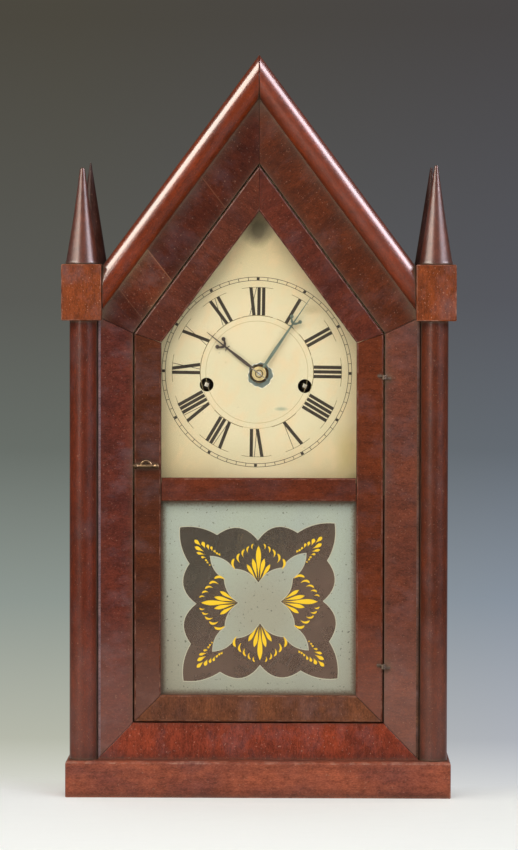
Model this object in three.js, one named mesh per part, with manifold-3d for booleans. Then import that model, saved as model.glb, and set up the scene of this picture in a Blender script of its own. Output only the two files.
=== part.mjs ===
// A steeple clock: a sharp gothic shelf clock with four columns and four steeples, a glazed door,
// an eight-day striking movement and a gong. Millimetres. +Z is up, the front faces -Y, and the
// origin is on the table under the middle of the plinth.
import * as THREE from "three";
import { mergeVertices } from "three/addons/utils/BufferGeometryUtils.js";
import Module from "manifold-3d";

const wasm = await Module();
wasm.setup();

// Sizes shared by the whole clock
const CLEAR = 0.3; // fitting gap between two pieces that are cut, turned or slanted
const CUT = 1; // overrun of a cutting tool past the face it cuts
const ROUND_SIDES = 24; // facets of a turned piece
const SMALL_SIDES = 12; // facets of a small round piece
const PIN_SIDES = 8; // facets of a thin pin

// Depth of the clock, from front to back: each step starts where the one before ends
const FRAME_IN = 11; // front of the plinth to the outer edge of the frame's face
const FRAME_THICK = 18; // to the face of the dial
const PLATE_BEHIND_DIAL = 11; // to the front face of the front plate
const PLATE_SPACING = 39; // to the front face of the back plate
const PENDULUM_BEHIND = 10; // to the plane of the pendulum
const BACK_BEHIND = 20; // to the inside of the back board
const BACK_THICK = 7; // to the outside of the back board
const BACK_IN = 2; // to the rear of the plinth

// Plinth
const PLINTH_WIDTH = 264;
const PLINTH_DEPTH =
  FRAME_IN +
  FRAME_THICK +
  PLATE_BEHIND_DIAL +
  PLATE_SPACING +
  PENDULUM_BEHIND +
  BACK_BEHIND +
  BACK_THICK +
  BACK_IN;
const PLINTH_HEIGHT = 25;
const PLINTH_FRONT_RAIL = 25; // front to back, carries the columns and the front frame
const PLINTH_SIDE_RAIL = 27; // side to side, carries the columns and the sides
const PLINTH_ARRIS = 1.2; // rounded top edge
const BOTTOM_THICK = 12;

// Case behind the front frame
const APEX_HEIGHT = 508; // top of the roof
const EAVES_HEIGHT = 359.4; // where the top of the roof meets the outside of the case
const CASE_IN = 21.5; // end of the plinth to the outside of the case
const CASE_HALF = PLINTH_WIDTH / 2 - CASE_IN;
const SIDE_THICK = 9;
const ROOF_THICK = 9;
const BACK_FACE = PLINTH_DEPTH / 2 - BACK_IN;
const ROOF_PAST_BACK = 1;
const ROOF_BACK = BACK_FACE + ROOF_PAST_BACK;

// Canted front frame and the half-round mouldings over its rakes
const FRAME_FRONT = FRAME_IN - PLINTH_DEPTH / 2;
const FRAME_CANT = 6; // the face leans in by this much at its inner edge
const FRAME_BACK = FRAME_FRONT + FRAME_THICK;
const STILE_WIDTH = 24;
const RAIL_WIDTH = 24.5;
const RAKE_WIDTH = 26;
const MITRE_GAP = 0.2; // each piece stops this far short of a mitre, along its length
const MOULDING_WIDTH = 18;
const MOULDING_PROUD = 9;
const MOULDING_STEPS = 10;
const MOULDING_GAP = 0.15; // half of the open joint at the ridge

// Columns, blocks and steeples
const COLUMN_RADIUS = 9.5;
const COLUMN_IN_FROM_END = 14; // column axis to the front or the rear of the plinth
const BLOCK_WIDTH = 27.5;
const BLOCK_BOTTOM = 326.5;
const BLOCK_TOP = 365;
const BLOCK_PAST_END = 2.75; // the blocks stand out past the ends of the plinth
const BLOCK_OUT = PLINTH_WIDTH / 2 + BLOCK_PAST_END;
const STEEPLE_RADIUS = 11.6;
const STEEPLE_FOOT = 1.6; // upright foot of a steeple
const TIP_ROUND_SHARE = 0.5;
const STEEPLE_SIZES = {
  front_left: { height: 66, tip: 1.8 },
  front_right: { height: 68, tip: 1.2 },
  rear_left: { height: 73, tip: 0.5 },
  rear_right: { height: 70, tip: 0.9 },
};

// Door
const DOOR_GAP = 1;
const DOOR_IN = 4; // outer edge of the frame's face to the face of the door
const DOOR_FRONT = FRAME_FRONT + DOOR_IN;
const DOOR_THICK = 12;
const DOOR_STILE = 18.5;
const DOOR_ARRIS = 0.8;
const MIDDLE_RAIL_BOTTOM = 202.6;
const MIDDLE_RAIL_WIDTH = 16;
const REBATE_WIDTH = 4;
const REBATE_LIP = 5; // wood in front of the glass
const GLASS_THICK = 2;

// Hinges: a strap and a knuckle on the frame below, another on the door above, and a pin
const HINGE_HEIGHTS = { lower: 89, upper: 288 };
const HINGE_HEIGHT = 3.2;
const KNUCKLE_RADIUS = 1.6;
const HINGE_PIN_RADIUS = 0.6;
const HINGE_STRAP = 4.5;
const HINGE_STRAP_THICK = 0.8;

// Turn catch on the door's left stile
const CATCH_HEIGHT = 226.6;
const CATCH_IN = 8.2; // catch arbor to the outer edge of the door
const CATCH_LENGTH = 17.4;
const CATCH_BAR_RADIUS = 1.3;
const CATCH_BALL_RADIUS = 1.9;
const CATCH_ARBOR_RADIUS = 1.3;
const CATCH_ARCH_WIDTH = 9;
const CATCH_ARCH_HEIGHT = 5;
const CATCH_ARCH_EYE = 1.1;
const TONGUE_LENGTH = 15;
const TONGUE_WIDTH = 4;
const TONGUE_THICK = 0.9;
const KEEPER_DEPTH = 3.6; // slant planed off the back of the frame's stile, behind which the tongue turns
const KEEPER_WIDTH = 16;
const CATCH_ARCH_THICK = 1.6;
const TONGUE_BEHIND = 0.5; // tongue to the dial behind it
const BALL_STEPS = 4;
const ARCH_STEPS = 8;

// Dial and hands
const DIAL_HEIGHT = 290; // centre of the dial
const DIAL_THICK = 0.9;
const DIAL_LAP = 8; // the dial reaches this far behind the frame
const DIAL_BOTTOM = 206;
const DIAL_CENTRE_HOLE = 6.5;
const WINDING_HOLE = 4.8;
const HAND_THICK = 0.6;
const HAND_WIDTH = 2.6; // at the boss
const HAND_TIP_WIDTH = 0.9;
const HAND_CROSS = 4.2; // half-width of the cross on a hand
const HAND_CROSS_BAR = 1.6;
const HAND_CLEAR = 3.1; // end of the minute hand to the nearest edge of the glass that shows
// Each angle is clockwise from twelve
const HOUR_HAND = { reachShare: 0.7234, crossShare: 0.69, boss: 6.2, angle: 308.3 };
const MINUTE_HAND = { reachShare: 1, crossShare: 0.703, boss: 4.6, angle: 34 };
const HOUR_HAND_OUT = 1.6; // front of the dial to the front of the hand
const HOUR_HAND_FRONT = FRAME_BACK - HOUR_HAND_OUT;
const MINUTE_HAND_OUT = 3.4;
const MINUTE_HAND_FRONT = FRAME_BACK - MINUTE_HAND_OUT;
const HAND_WASHER_RADIUS = 5;
const HAND_WASHER_THICK = 0.8;
const HAND_PIN_PROUD = 0.7;
const HAND_ARBOR_RADIUS = 1.8;

// Movement plates and pillars
const PLATE_THICK = 1.5;
const FRONT_PLATE = FRAME_BACK + PLATE_BEHIND_DIAL;
const BACK_PLATE = FRONT_PLATE + PLATE_SPACING;
const PLATE_FOOT_HALF = 66; // half-width of a plate at its foot
const PLATE_HEAD_HALF = 50;
const PLATE_BOTTOM = -42; // from the centre arbor
const PLATE_SHOULDER = -22;
const PLATE_TOP = 74;
const PLATE_RIM = 11; // brass left round the windows
const PILLAR_RADIUS = 3;
const PILLAR_TENON = 1.4;
const PILLAR_TENON_PROUD = 2.2;
const PILLAR_IN = 5.5; // pillar axis to the edge of the plates
const WINDOW_EDGE = 7;
const PIVOT_RADIUS = 0.8;
const PIVOT_PROUD = 0.5; // a pivot's end stands this far out of its plate
const ARBOR_RADIUS = 1.2;
const ARBOR_SHAKE = 0.4; // end play between an arbor's shoulder and a plate
const SEAT_WIDTH = 22; // wooden blocks between the back plate and the back board
const SEAT_HEIGHT = 16;

// Time train. Places are from the centre arbor, and y is from front to back.
const WHEEL_THICK = 1.2;
const WHEEL_RIM = 2.6;
const WHEEL_SPOKES = 4;
const SPOKE_WIDTH = 2.2;
const LEAF_LENGTH = 4; // length of a pinion's leaves
const TOOTH_ADDENDUM_SHARE = 0.9; // of the module
const TOOTH_DEDENDUM_SHARE = 1.35;
const TOOTH_ROOT_SHARE = 0.26; // half-widths, of the pitch
const TOOTH_TIP_SHARE = 0.09;
const LEAF_ADDENDUM_SHARE = 0.7;
const LEAF_DEDENDUM_SHARE = 1.45;
const LEAF_ROOT_SHARE = 0.2;
const LEAF_TIP_SHARE = 0.12;
const GREAT_TEETH = 48;
const GREAT_PINION = 8;
const TRAIN_TEETH = 60;
const TRAIN_PINION = 6;
const ESCAPE_TEETH = 42;
const TIME_WINDING = { x: 31.5, z: -8.6 };
const STRIKE_WINDING = { x: -36.2, z: -7.7 };
const CENTRE_MODULE = 0.8;
const THIRD_MODULE = 0.6;
const THIRD_ASIDE = 7.2; // third arbor to the upright line through the centre arbor
const ESCAPE_RADIUS = 13;
const ESCAPE_DEPTH = 1.9;
const ESCAPE_TIP_HALF = 0.1;
const PALLET_SPAN = 8.5; // teeth of the escape wheel between the pallets
const GREAT_WHEEL_IN = 3.7; // from the front face of the front plate
const GREAT_WHEEL_FRONT = FRONT_PLATE + GREAT_WHEEL_IN;
const GREAT_WHEEL_THICK = 2.2;
const CENTRE_WHEEL_OFF = 9; // these three are from the front face of the back plate
const CENTRE_WHEEL_FRONT = BACK_PLATE - CENTRE_WHEEL_OFF;
const THIRD_WHEEL_OFF = 4;
const THIRD_WHEEL_FRONT = BACK_PLATE - THIRD_WHEEL_OFF;
const ESCAPE_WHEEL_OFF = 16;
const ESCAPE_WHEEL_FRONT = BACK_PLATE - ESCAPE_WHEEL_OFF;
const WINDING_SQUARE = 3.6;
const WINDING_SQUARE_IN = 1.5; // front of the dial to the end of the square behind it
const WINDING_SQUARE_FRONT = FRAME_BACK + WINDING_SQUARE_IN;
const WINDING_SQUARE_OUT = 2.5; // the square ends this far in front of the front plate
const WINDING_SQUARE_BACK = FRONT_PLATE - WINDING_SQUARE_OUT;
const GREAT_PIVOT_RADIUS = 1.8;
const GREAT_HUB = 6;
const GREAT_RIM = 3.4;
const WHEEL_HUB = 3.4;
const WINDOW_STEPS = 4;
const CENTRE_ARBOR_RADIUS = 1.8;
const ESCAPE_LEAN_SHARE = 0.1;
const QUARTER_SHARE = 0.25;
const WINDING_ARBOR_RADIUS = 3;

// Strike train: the great wheel drives the pin wheel, whose pins lift the hammer's tail
const PIN_ARBOR_ASIDE = 6.5; // pin wheel's arbor to the upright line through the winding arbor
const PIN_WHEEL_IN = 7.7; // from the front face of the front plate
const PIN_WHEEL_FRONT = FRONT_PLATE + PIN_WHEEL_IN;
const PIN_RING = 14;
const PIN_RADIUS = 0.6;
const PIN_PROUD = 1.8;
const PINS = 8;
const COUNT_TEETH = 78; // one for each blow of twelve hours
const COUNT_PINION = 8;
const COUNT_WHEEL_OFF = 6; // from the front face of the back plate
const COUNT_WHEEL_FRONT = BACK_PLATE - COUNT_WHEEL_OFF;
const COUNT_SLOT_OUTER = 25; // radii of the slots that the locking lever drops into
const COUNT_SLOT_INNER = 20;
const COUNT_SLOT_WIDTH = 1.5;
const COUNT_LEAF_LENGTH = 3;
const HOURS = 12;
const FLY_ASIDE = 6.8; // fly's arbor to the upright line through the pin wheel's arbor
const FLY_RADIUS = 10;
const FLY_LENGTH = 13;
const FLY_OFF = 5; // back edge of the vane to the front face of the back plate
const FLY_THICK = 0.6;
const FLY_HUB = 1.8;
const HAMMER_ARBOR = { x: -12, z: -30 };
const HAMMER_TAIL_WIDTH = 2.4;
const HAMMER_TAIL_THICK = 1;
const HAMMER_TAIL_OFF = 0.5; // tail to the pin wheel in front of it, and to the ring of pins
const HAMMER_WIRE = 0.9; // radius
const HAMMER_HEAD_RADIUS = 4;
const HAMMER_HEAD_LENGTH = 9;
const HAMMER_UP = 27; // middle of the hammer's head over the middle of the gong
const HAMMER_GAP = 0.8; // head to the gong at rest

// Mainsprings
const SPRING_TURNS = 5;
const SPRING_STEPS_A_TURN = 16;
const SPRING_THICK = 1;
const SPRING_WIDTH = 14;
const SPRING_IN = 12;
const SPRING_FRONT = FRONT_PLATE + SPRING_IN;
const SPRING_OUTER = 24;

// Motion work behind the dial
const MOTION_PINION = 12;
const MINUTE_WHEEL_TEETH = 36;
const MINUTE_PINION = 10;
const HOUR_WHEEL_TEETH = 40;
const MOTION_MODULE = 0.6;
const MOTION_PINION_OUT = 3.4;
const MOTION_PINION_FRONT = FRONT_PLATE - MOTION_PINION_OUT;
const MOTION_PINION_THICK = 2;
const HOUR_WHEEL_OUT = 6.4;
const HOUR_WHEEL_FRONT = FRONT_PLATE - HOUR_WHEEL_OUT;
const MOTION_WHEEL_THICK = 1.2;
const HOUR_PIPE_RADIUS = 4.2;
const HOUR_PIPE_BORE = 3;
const MINUTE_PIPE_RADIUS = 2.6;
const HOUR_PIPE_PROUD = 0.4;
const STUD_RADIUS = 0.9;
const STUD_PROUD = 1;

// Verge and pendulum
const PALLET_NIB = 0.4;
const PALLET_NIB_HEIGHT = 2;
const PALLET_CLEAR = 0.3; // over the wheel's tips in the middle of the swing
const VERGE_STRIP = 1;
const VERGE_WIDTH = 3;
const VERGE_HUB = 2.2;
const CRUTCH_BEHIND = 6; // from the front face of the back plate
const CRUTCH_FRONT = BACK_PLATE + CRUTCH_BEHIND;
const CRUTCH_RADIUS = 0.7;
const CRUTCH_LENGTH = 32;
const PENDULUM_PLANE = BACK_PLATE + PENDULUM_BEHIND;
const ROD_RADIUS = 0.8;
const BOB_DROP = 183; // pivot to the middle of the bob, for 8400 beats an hour
const BOB_RADIUS = 20;
const BOB_THICK = 9;
const BOB_STEPS = 10;
const RATING_NUT_RADIUS = 3.4;
const RATING_NUT_HEIGHT = 3;
const ROD_BELOW_BOB = 9;
const SUSPENSION_RADIUS = 2;
const SUSPENSION_DROP = 4; // suspension spring above the pendulum's pivot point
const SUSPENSION_WIDTH = 2.4;
const SUSPENSION_THICK = 0.5;

// Gong
const GONG_HEIGHT = 95;
const GONG_OFFSET = -5;
const GONG_OFF_BACK = 9; // inside of the back board to the plane of the coil
const GONG_PLANE = BACK_FACE - BACK_THICK - GONG_OFF_BACK;
const GONG_WIRE = 1.2; // radius of the wire
const GONG_TURNS = 4;
const GONG_STEPS_A_TURN = 24;
const GONG_WIRE_SIDES = 6;
const GONG_OUTER = 37;
const GONG_POST_RADIUS = 3.2;
const GONG_FOOT_RADIUS = 13;
const GONG_FOOT_THICK = 3;

// Finishes
const finishes = {
  red_wood: { color: 0x6b3028, roughness: 0.45, metalness: 0 },
  orange_wood: { color: 0x7d3a20, roughness: 0.42, metalness: 0 },
  plain_wood: { color: 0x8a6a48, roughness: 0.8, metalness: 0 },
  glass: { color: 0xdfe8e6, roughness: 0.05, metalness: 0 },
  painted_zinc: { color: 0xcfc9b4, roughness: 0.6, metalness: 0 },
  brass: { color: 0xb08d3e, roughness: 0.35, metalness: 1 },
  steel: { color: 0x8d949b, roughness: 0.35, metalness: 1 },
  blued_steel: { color: 0x48545f, roughness: 0.3, metalness: 1 },
  cast_iron: { color: 0x2e2c2a, roughness: 0.7, metalness: 0.6 },
};

function finish(name) {
  return new THREE.MeshStandardMaterial(finishes[name]);
}

const clock = new THREE.Group();

// Adds one named piece to the clock, or to one of its groups
function piece(name, geometry, material, parent = clock) {
  const mesh = new THREE.Mesh(geometry, finish(material));
  mesh.name = name;
  parent.add(mesh);
  return mesh;
}

// Outlines made into closed solids

// A closed geometry as a manifold-3d solid, with shared corners and no collapsed triangles
function asSolid(geometry) {
  const loose = geometry.index ? geometry.toNonIndexed() : geometry;
  const bare = new THREE.BufferGeometry();
  bare.setAttribute("position", loose.getAttribute("position"));
  const merged = mergeVertices(bare);
  const corners = merged.index.array;
  const kept = [];
  for (let i = 0; i < corners.length; i += 3) {
    const [a, b, c] = corners.slice(i, i + 3);
    if (a !== b && b !== c && c !== a) kept.push(a, b, c);
  }
  const made = new wasm.Manifold(
    new wasm.Mesh({
      numProp: 3,
      vertProperties: merged.attributes.position.array,
      triVerts: new Uint32Array(kept),
    }),
  );
  if (made.volume() > 0) return made;
  for (let i = 0; i < kept.length; i += 3) {
    [kept[i + 1], kept[i + 2]] = [kept[i + 2], kept[i + 1]];
  }
  return new wasm.Manifold(
    new wasm.Mesh({
      numProp: 3,
      vertProperties: merged.attributes.position.array,
      triVerts: new Uint32Array(kept),
    }),
  );
}

function asGeometry(solid) {
  const mesh = solid.getMesh();
  const geometry = new THREE.BufferGeometry();
  geometry.setAttribute("position", new THREE.BufferAttribute(mesh.vertProperties, 3));
  geometry.setIndex(new THREE.BufferAttribute(mesh.triVerts, 1));
  const flat = geometry.toNonIndexed();
  flat.computeVertexNormals();
  return flat;
}

function join(...geometries) {
  return asGeometry(geometries.map(asSolid).reduce((a, b) => a.add(b)));
}

function cut(geometry, ...tools) {
  return asGeometry(tools.map(asSolid).reduce((a, b) => a.subtract(b), asSolid(geometry)));
}

// An outline seen from the front, as [x, z] points, made solid from one depth to another
function prism(outline, front, back, holes = []) {
  const shape = new THREE.Shape(outline.map(([x, z]) => new THREE.Vector2(x, z)));
  const geometry = new THREE.ExtrudeGeometry(shape, { depth: back - front, bevelEnabled: false });
  geometry.rotateX(Math.PI / 2);
  geometry.translate(0, back, 0);
  if (!holes.length) return geometry;
  return cut(geometry, ...holes.map((hole) => prism(hole, front - CUT, back + CUT)));
}

// An outline seen from above, as [x, y] points, made solid from one height to another
function slab(outline, bottom, top) {
  const shape = new THREE.Shape(outline.map(([x, y]) => new THREE.Vector2(x, y)));
  const geometry = new THREE.ExtrudeGeometry(shape, { depth: top - bottom, bevelEnabled: false });
  geometry.translate(0, 0, bottom);
  return geometry;
}

function box(x0, x1, y0, y1, z0, z1) {
  const geometry = new THREE.BoxGeometry(x1 - x0, y1 - y0, z1 - z0);
  geometry.translate((x0 + x1) / 2, (y0 + y1) / 2, (z0 + z1) / 2);
  return geometry;
}

// A turned piece on an upright axis, from [radius, z] points that start and end on the axis
function turned(profile, sides = ROUND_SIDES) {
  const points = profile.map(([r, z]) => new THREE.Vector2(r, z));
  const geometry = new THREE.LatheGeometry(points, sides);
  geometry.rotateX(Math.PI / 2);
  return geometry;
}

// A turned piece on an axis that runs front to back, from [radius, y] points
function arborTurned(profile, sides = SMALL_SIDES) {
  const points = profile.map(([r, y]) => new THREE.Vector2(r, y));
  return new THREE.LatheGeometry(points, sides);
}

function rod(radius, front, back, sides = SMALL_SIDES) {
  return arborTurned(
    [
      [0, front],
      [radius, front],
      [radius, back],
      [0, back],
    ],
    sides,
  );
}

function circle(x, z, radius, sides = ROUND_SIDES) {
  return Array.from({ length: sides }, (_, i) => {
    const angle = (i * 2 * Math.PI) / sides;
    return [x + radius * Math.cos(angle), z + radius * Math.sin(angle)];
  });
}

// A solid from closed rings of [x, y, z] points, each joined to the next, with flat ends
function lofted(rings, endOutline) {
  const count = rings[0].length;
  const outline = endOutline.map(([u, v]) => new THREE.Vector2(u, v));
  const ends = THREE.ShapeUtils.triangulateShape(outline, []);
  const corners = [];
  const add = (...points) => points.forEach((point) => corners.push(...point));
  const turns = THREE.ShapeUtils.isClockWise(outline);
  for (let k = 0; k + 1 < rings.length; k += 1) {
    for (let i = 0; i < count; i += 1) {
      const j = (i + 1) % count;
      const [a, b, c, d] = [rings[k][i], rings[k][j], rings[k + 1][j], rings[k + 1][i]];
      if (turns) add(a, d, c, a, c, b);
      else add(a, b, c, a, c, d);
    }
  }
  const last = rings[rings.length - 1];
  ends.forEach(([a, b, c]) => {
    add(rings[0][c], rings[0][b], rings[0][a]);
    add(last[a], last[b], last[c]);
  });
  const geometry = new THREE.BufferGeometry();
  geometry.setAttribute("position", new THREE.Float32BufferAttribute(corners, 3));
  return asGeometry(asSolid(geometry));
}

function mirrored(outline) {
  return outline.map(([x, z]) => [-x, z]);
}

// Height of a line that runs parallel to the roof, this far inside its outer face
const ROOF_RISE = (APEX_HEIGHT - EAVES_HEIGHT) / CASE_HALF;
const ROOF_SLANT = Math.hypot(1, ROOF_RISE);

function rakeHeight(x, inset) {
  return APEX_HEIGHT - inset * ROOF_SLANT - ROOF_RISE * Math.abs(x);
}

// Plinth: a front board and two returns, with the bottom board between them
const plinthFront = -PLINTH_DEPTH / 2;
const plinthBack = PLINTH_DEPTH / 2;
const plinthEnd = PLINTH_WIDTH / 2;
const railBack = plinthFront + PLINTH_FRONT_RAIL;
const bottomEnd = plinthEnd - PLINTH_SIDE_RAIL;

// A three-sided tool that takes the arris off a plinth board's top edge, from one corner to another
function arrisTool(from, to) {
  const along = new THREE.Vector2(to[0] - from[0], to[1] - from[1]).normalize();
  const reach = PLINTH_ARRIS + CUT;
  const section = [
    [-CUT, -reach],
    [reach, CUT],
    [-CUT, CUT],
  ];
  const ringAt = ([x, y], over) =>
    section.map(([u, w]) => [
      x + along.x * over - along.y * u,
      y + along.y * over + along.x * u,
      PLINTH_HEIGHT + w,
    ]);
  return lofted([ringAt(from, -CUT), ringAt(to, CUT)], section);
}

const frontBoard = cut(
  box(-plinthEnd, plinthEnd, plinthFront, railBack, 0, PLINTH_HEIGHT),
  arrisTool([-plinthEnd, plinthFront], [plinthEnd, plinthFront]),
  arrisTool([-plinthEnd, railBack], [-plinthEnd, plinthFront]),
  arrisTool([plinthEnd, plinthFront], [plinthEnd, railBack]),
);

piece("plinth_front", frontBoard, "red_wood");
for (const [name, side] of [["left", -1], ["right", 1]]) {
  const inner = side * bottomEnd;
  const outer = side * plinthEnd;
  const board = box(Math.min(inner, outer), Math.max(inner, outer), railBack, plinthBack, 0, PLINTH_HEIGHT);
  const ends = [[outer, railBack], [outer, plinthBack]];
  if (side < 0) {
    ends.reverse();
  }
  piece(`plinth_${name}`, cut(board, arrisTool(...ends)), "red_wood");
}
piece(
  "bottom_board",
  box(-bottomEnd, bottomEnd, railBack, BACK_FACE, PLINTH_HEIGHT - BOTTOM_THICK, PLINTH_HEIGHT),
  "plain_wood",
);

// Case: two sides, two roof boards and a back board
const sideInner = CASE_HALF - SIDE_THICK;
const roofLow = ROOF_THICK + CLEAR;
const backFront = BACK_FACE - BACK_THICK;

// A board that follows the roof's slope on one side of the clock, from [inset, y] points
function sloped(section, side, from, to) {
  const ringAt = (x) => section.map(([inset, y]) => [side * x, y, rakeHeight(x, inset)]);
  return lofted([ringAt(from), ringAt(to)], section);
}

const roofSection = [
  [0, FRAME_FRONT],
  [ROOF_THICK, FRAME_FRONT],
  [ROOF_THICK, ROOF_BACK],
  [0, ROOF_BACK],
];
const mouldingRadius = MOULDING_WIDTH / 2;
const mouldingSection = Array.from({ length: MOULDING_STEPS + 1 }, (_, i) => {
  const angle = (i * Math.PI) / MOULDING_STEPS;
  return [
    mouldingRadius * (1 - Math.cos(angle)),
    FRAME_FRONT - MOULDING_PROUD * Math.sin(angle),
  ];
});
const mouldingEnd = BLOCK_OUT - BLOCK_WIDTH - CLEAR;
const sideOutline = [
  [sideInner, PLINTH_HEIGHT],
  [CASE_HALF, PLINTH_HEIGHT],
  [CASE_HALF, rakeHeight(CASE_HALF, roofLow)],
  [sideInner, rakeHeight(sideInner, roofLow)],
];
for (const [name, side] of [["left", -1], ["right", 1]]) {
  const outline = side > 0 ? sideOutline : mirrored(sideOutline);
  piece(`${name}_side`, prism(outline, FRAME_BACK, BACK_FACE), "red_wood");
  piece(`${name}_roof`, sloped(roofSection, side, 0, CASE_HALF), "red_wood");
  piece(
    `${name}_rake_moulding`,
    sloped(mouldingSection, side, MOULDING_GAP, mouldingEnd),
    "orange_wood",
  );
}

// Five corners of a gothic front: half-width, foot, and inset from the roof's outer face
function gable(side, foot, inset) {
  return {
    footLeft: [-side, foot],
    footRight: [side, foot],
    eavesRight: [side, rakeHeight(side, inset)],
    ridge: [0, rakeHeight(0, inset)],
    eavesLeft: [-side, rakeHeight(side, inset)],
  };
}

// A board between two mitres of a gable, from [share of its width, y] points
function mitred(outer, inner, start, end, section) {
  const run = new THREE.Vector2(...outer[end]).sub(new THREE.Vector2(...outer[start]));
  const step = run.normalize().multiplyScalar(MITRE_GAP);
  const ringAt = (corner, sign) =>
    section.map(([share, y]) => [
      outer[corner][0] + share * (inner[corner][0] - outer[corner][0]) + sign * step.x,
      y,
      outer[corner][1] + share * (inner[corner][1] - outer[corner][1]) + sign * step.y,
    ]);
  return lofted([ringAt(start, 1), ringAt(end, -1)], section);
}

// Canted front frame
const frameInnerHalf = CASE_HALF - STILE_WIDTH;
const frameInnerInset = MOULDING_WIDTH + RAKE_WIDTH;
const frameOuter = gable(CASE_HALF, PLINTH_HEIGHT, MOULDING_WIDTH);
const frameInner = gable(frameInnerHalf, PLINTH_HEIGHT + RAIL_WIDTH, frameInnerInset);
const frameSection = [
  [0, FRAME_FRONT],
  [1, FRAME_FRONT + FRAME_CANT],
  [1, FRAME_BACK],
  [0, FRAME_BACK],
];
const rakeShare = (roofLow - MOULDING_WIDTH) / RAKE_WIDTH;
const rakeSection = [
  [rakeShare, FRAME_FRONT],
  [0, FRAME_FRONT],
  [1, FRAME_FRONT + FRAME_CANT],
  [1, FRAME_BACK],
  [rakeShare, FRAME_BACK],
];
const catchPlace = -(frameInnerHalf - DOOR_GAP - CATCH_IN);
const keeper = slab(
  [
    [-frameInnerHalf - KEEPER_WIDTH, FRAME_BACK],
    [-frameInnerHalf, FRAME_BACK - KEEPER_DEPTH],
    [-frameInnerHalf + CUT, FRAME_BACK - KEEPER_DEPTH],
    [-frameInnerHalf + CUT, FRAME_BACK + CUT],
    [-frameInnerHalf - KEEPER_WIDTH, FRAME_BACK + CUT],
  ],
  PLINTH_HEIGHT - CUT,
  APEX_HEIGHT,
);
const eavesTool = (side) => {
  const near = side * CASE_HALF;
  const far = side * (CASE_HALF + STILE_WIDTH);
  return box(
    Math.min(near, far),
    Math.max(near, far),
    FRAME_FRONT - CUT,
    FRAME_BACK + CUT,
    BLOCK_BOTTOM - RAKE_WIDTH,
    BLOCK_TOP + RAKE_WIDTH,
  );
};
const frameBoard = (from, to) => mitred(frameOuter, frameInner, from, to, frameSection);
piece("frame_bottom_rail", frameBoard("footLeft", "footRight"), "red_wood");
piece("frame_right_stile", frameBoard("footRight", "eavesRight"), "red_wood");
piece(
  "frame_left_stile",
  cut(frameBoard("eavesLeft", "footLeft"), keeper),
  "red_wood",
);
piece(
  "frame_right_rake",
  cut(mitred(frameOuter, frameInner, "eavesRight", "ridge", rakeSection), eavesTool(1)),
  "red_wood",
);
piece(
  "frame_left_rake",
  cut(mitred(frameOuter, frameInner, "ridge", "eavesLeft", rakeSection), eavesTool(-1)),
  "red_wood",
);

// Columns, blocks and steeples at the four corners
const columnX = CASE_HALF + CLEAR + COLUMN_RADIUS;
const columnY = PLINTH_DEPTH / 2 - COLUMN_IN_FROM_END;
const blockInner = BLOCK_OUT - BLOCK_WIDTH;
const blockMiddle = BLOCK_OUT - BLOCK_WIDTH / 2;

function columnAt(x, y) {
  const geometry = turned([
    [0, PLINTH_HEIGHT],
    [COLUMN_RADIUS, PLINTH_HEIGHT],
    [COLUMN_RADIUS, BLOCK_BOTTOM],
    [0, BLOCK_BOTTOM],
  ]);
  geometry.translate(x, y, 0);
  return geometry;
}

function blockAt(side, end) {
  const caseFace = CASE_HALF + CLEAR;
  const inner = end < 0 ? blockInner : caseFace;
  const front = end * (columnY + BLOCK_WIDTH / 2);
  const rear = end * (columnY - BLOCK_WIDTH / 2);
  const notch = end < 0 ? [[caseFace, rear], [caseFace, FRAME_FRONT - CLEAR]] : [[caseFace, rear]];
  const outline = [
    [BLOCK_OUT, front],
    [BLOCK_OUT, rear],
    ...notch,
    ...(end < 0 ? [[inner, FRAME_FRONT - CLEAR]] : []),
    [inner, front],
  ];
  return slab(outline.map(([x, y]) => [side * x, y]), BLOCK_BOTTOM, BLOCK_TOP);
}

function steepleAt(x, y, { height, tip }) {
  const geometry = turned([
    [0, BLOCK_TOP],
    [STEEPLE_RADIUS, BLOCK_TOP],
    [STEEPLE_RADIUS, BLOCK_TOP + STEEPLE_FOOT],
    [tip, BLOCK_TOP + height - tip],
    [tip * TIP_ROUND_SHARE, BLOCK_TOP + height],
    [0, BLOCK_TOP + height],
  ]);
  geometry.translate(x, y, 0);
  return geometry;
}

for (const [sideName, side] of [["left", -1], ["right", 1]]) {
  for (const [endName, end] of [["front", -1], ["rear", 1]]) {
    const corner = `${endName}_${sideName}`;
    const x = side * columnX;
    const y = end * columnY;
    const column = columnAt(x, y);
    const block = blockAt(side, end);
    const steeple = steepleAt(side * blockMiddle, y, STEEPLE_SIZES[corner]);
    if (end < 0) {
      piece(`${corner}_column`, column, "red_wood");
      piece(`${corner}_block`, block, "orange_wood");
      piece(`${corner}_steeple`, steeple, "red_wood");
    } else {
      piece(`${corner}_turret`, join(column, block, steeple), "red_wood");
    }
  }
}

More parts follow.
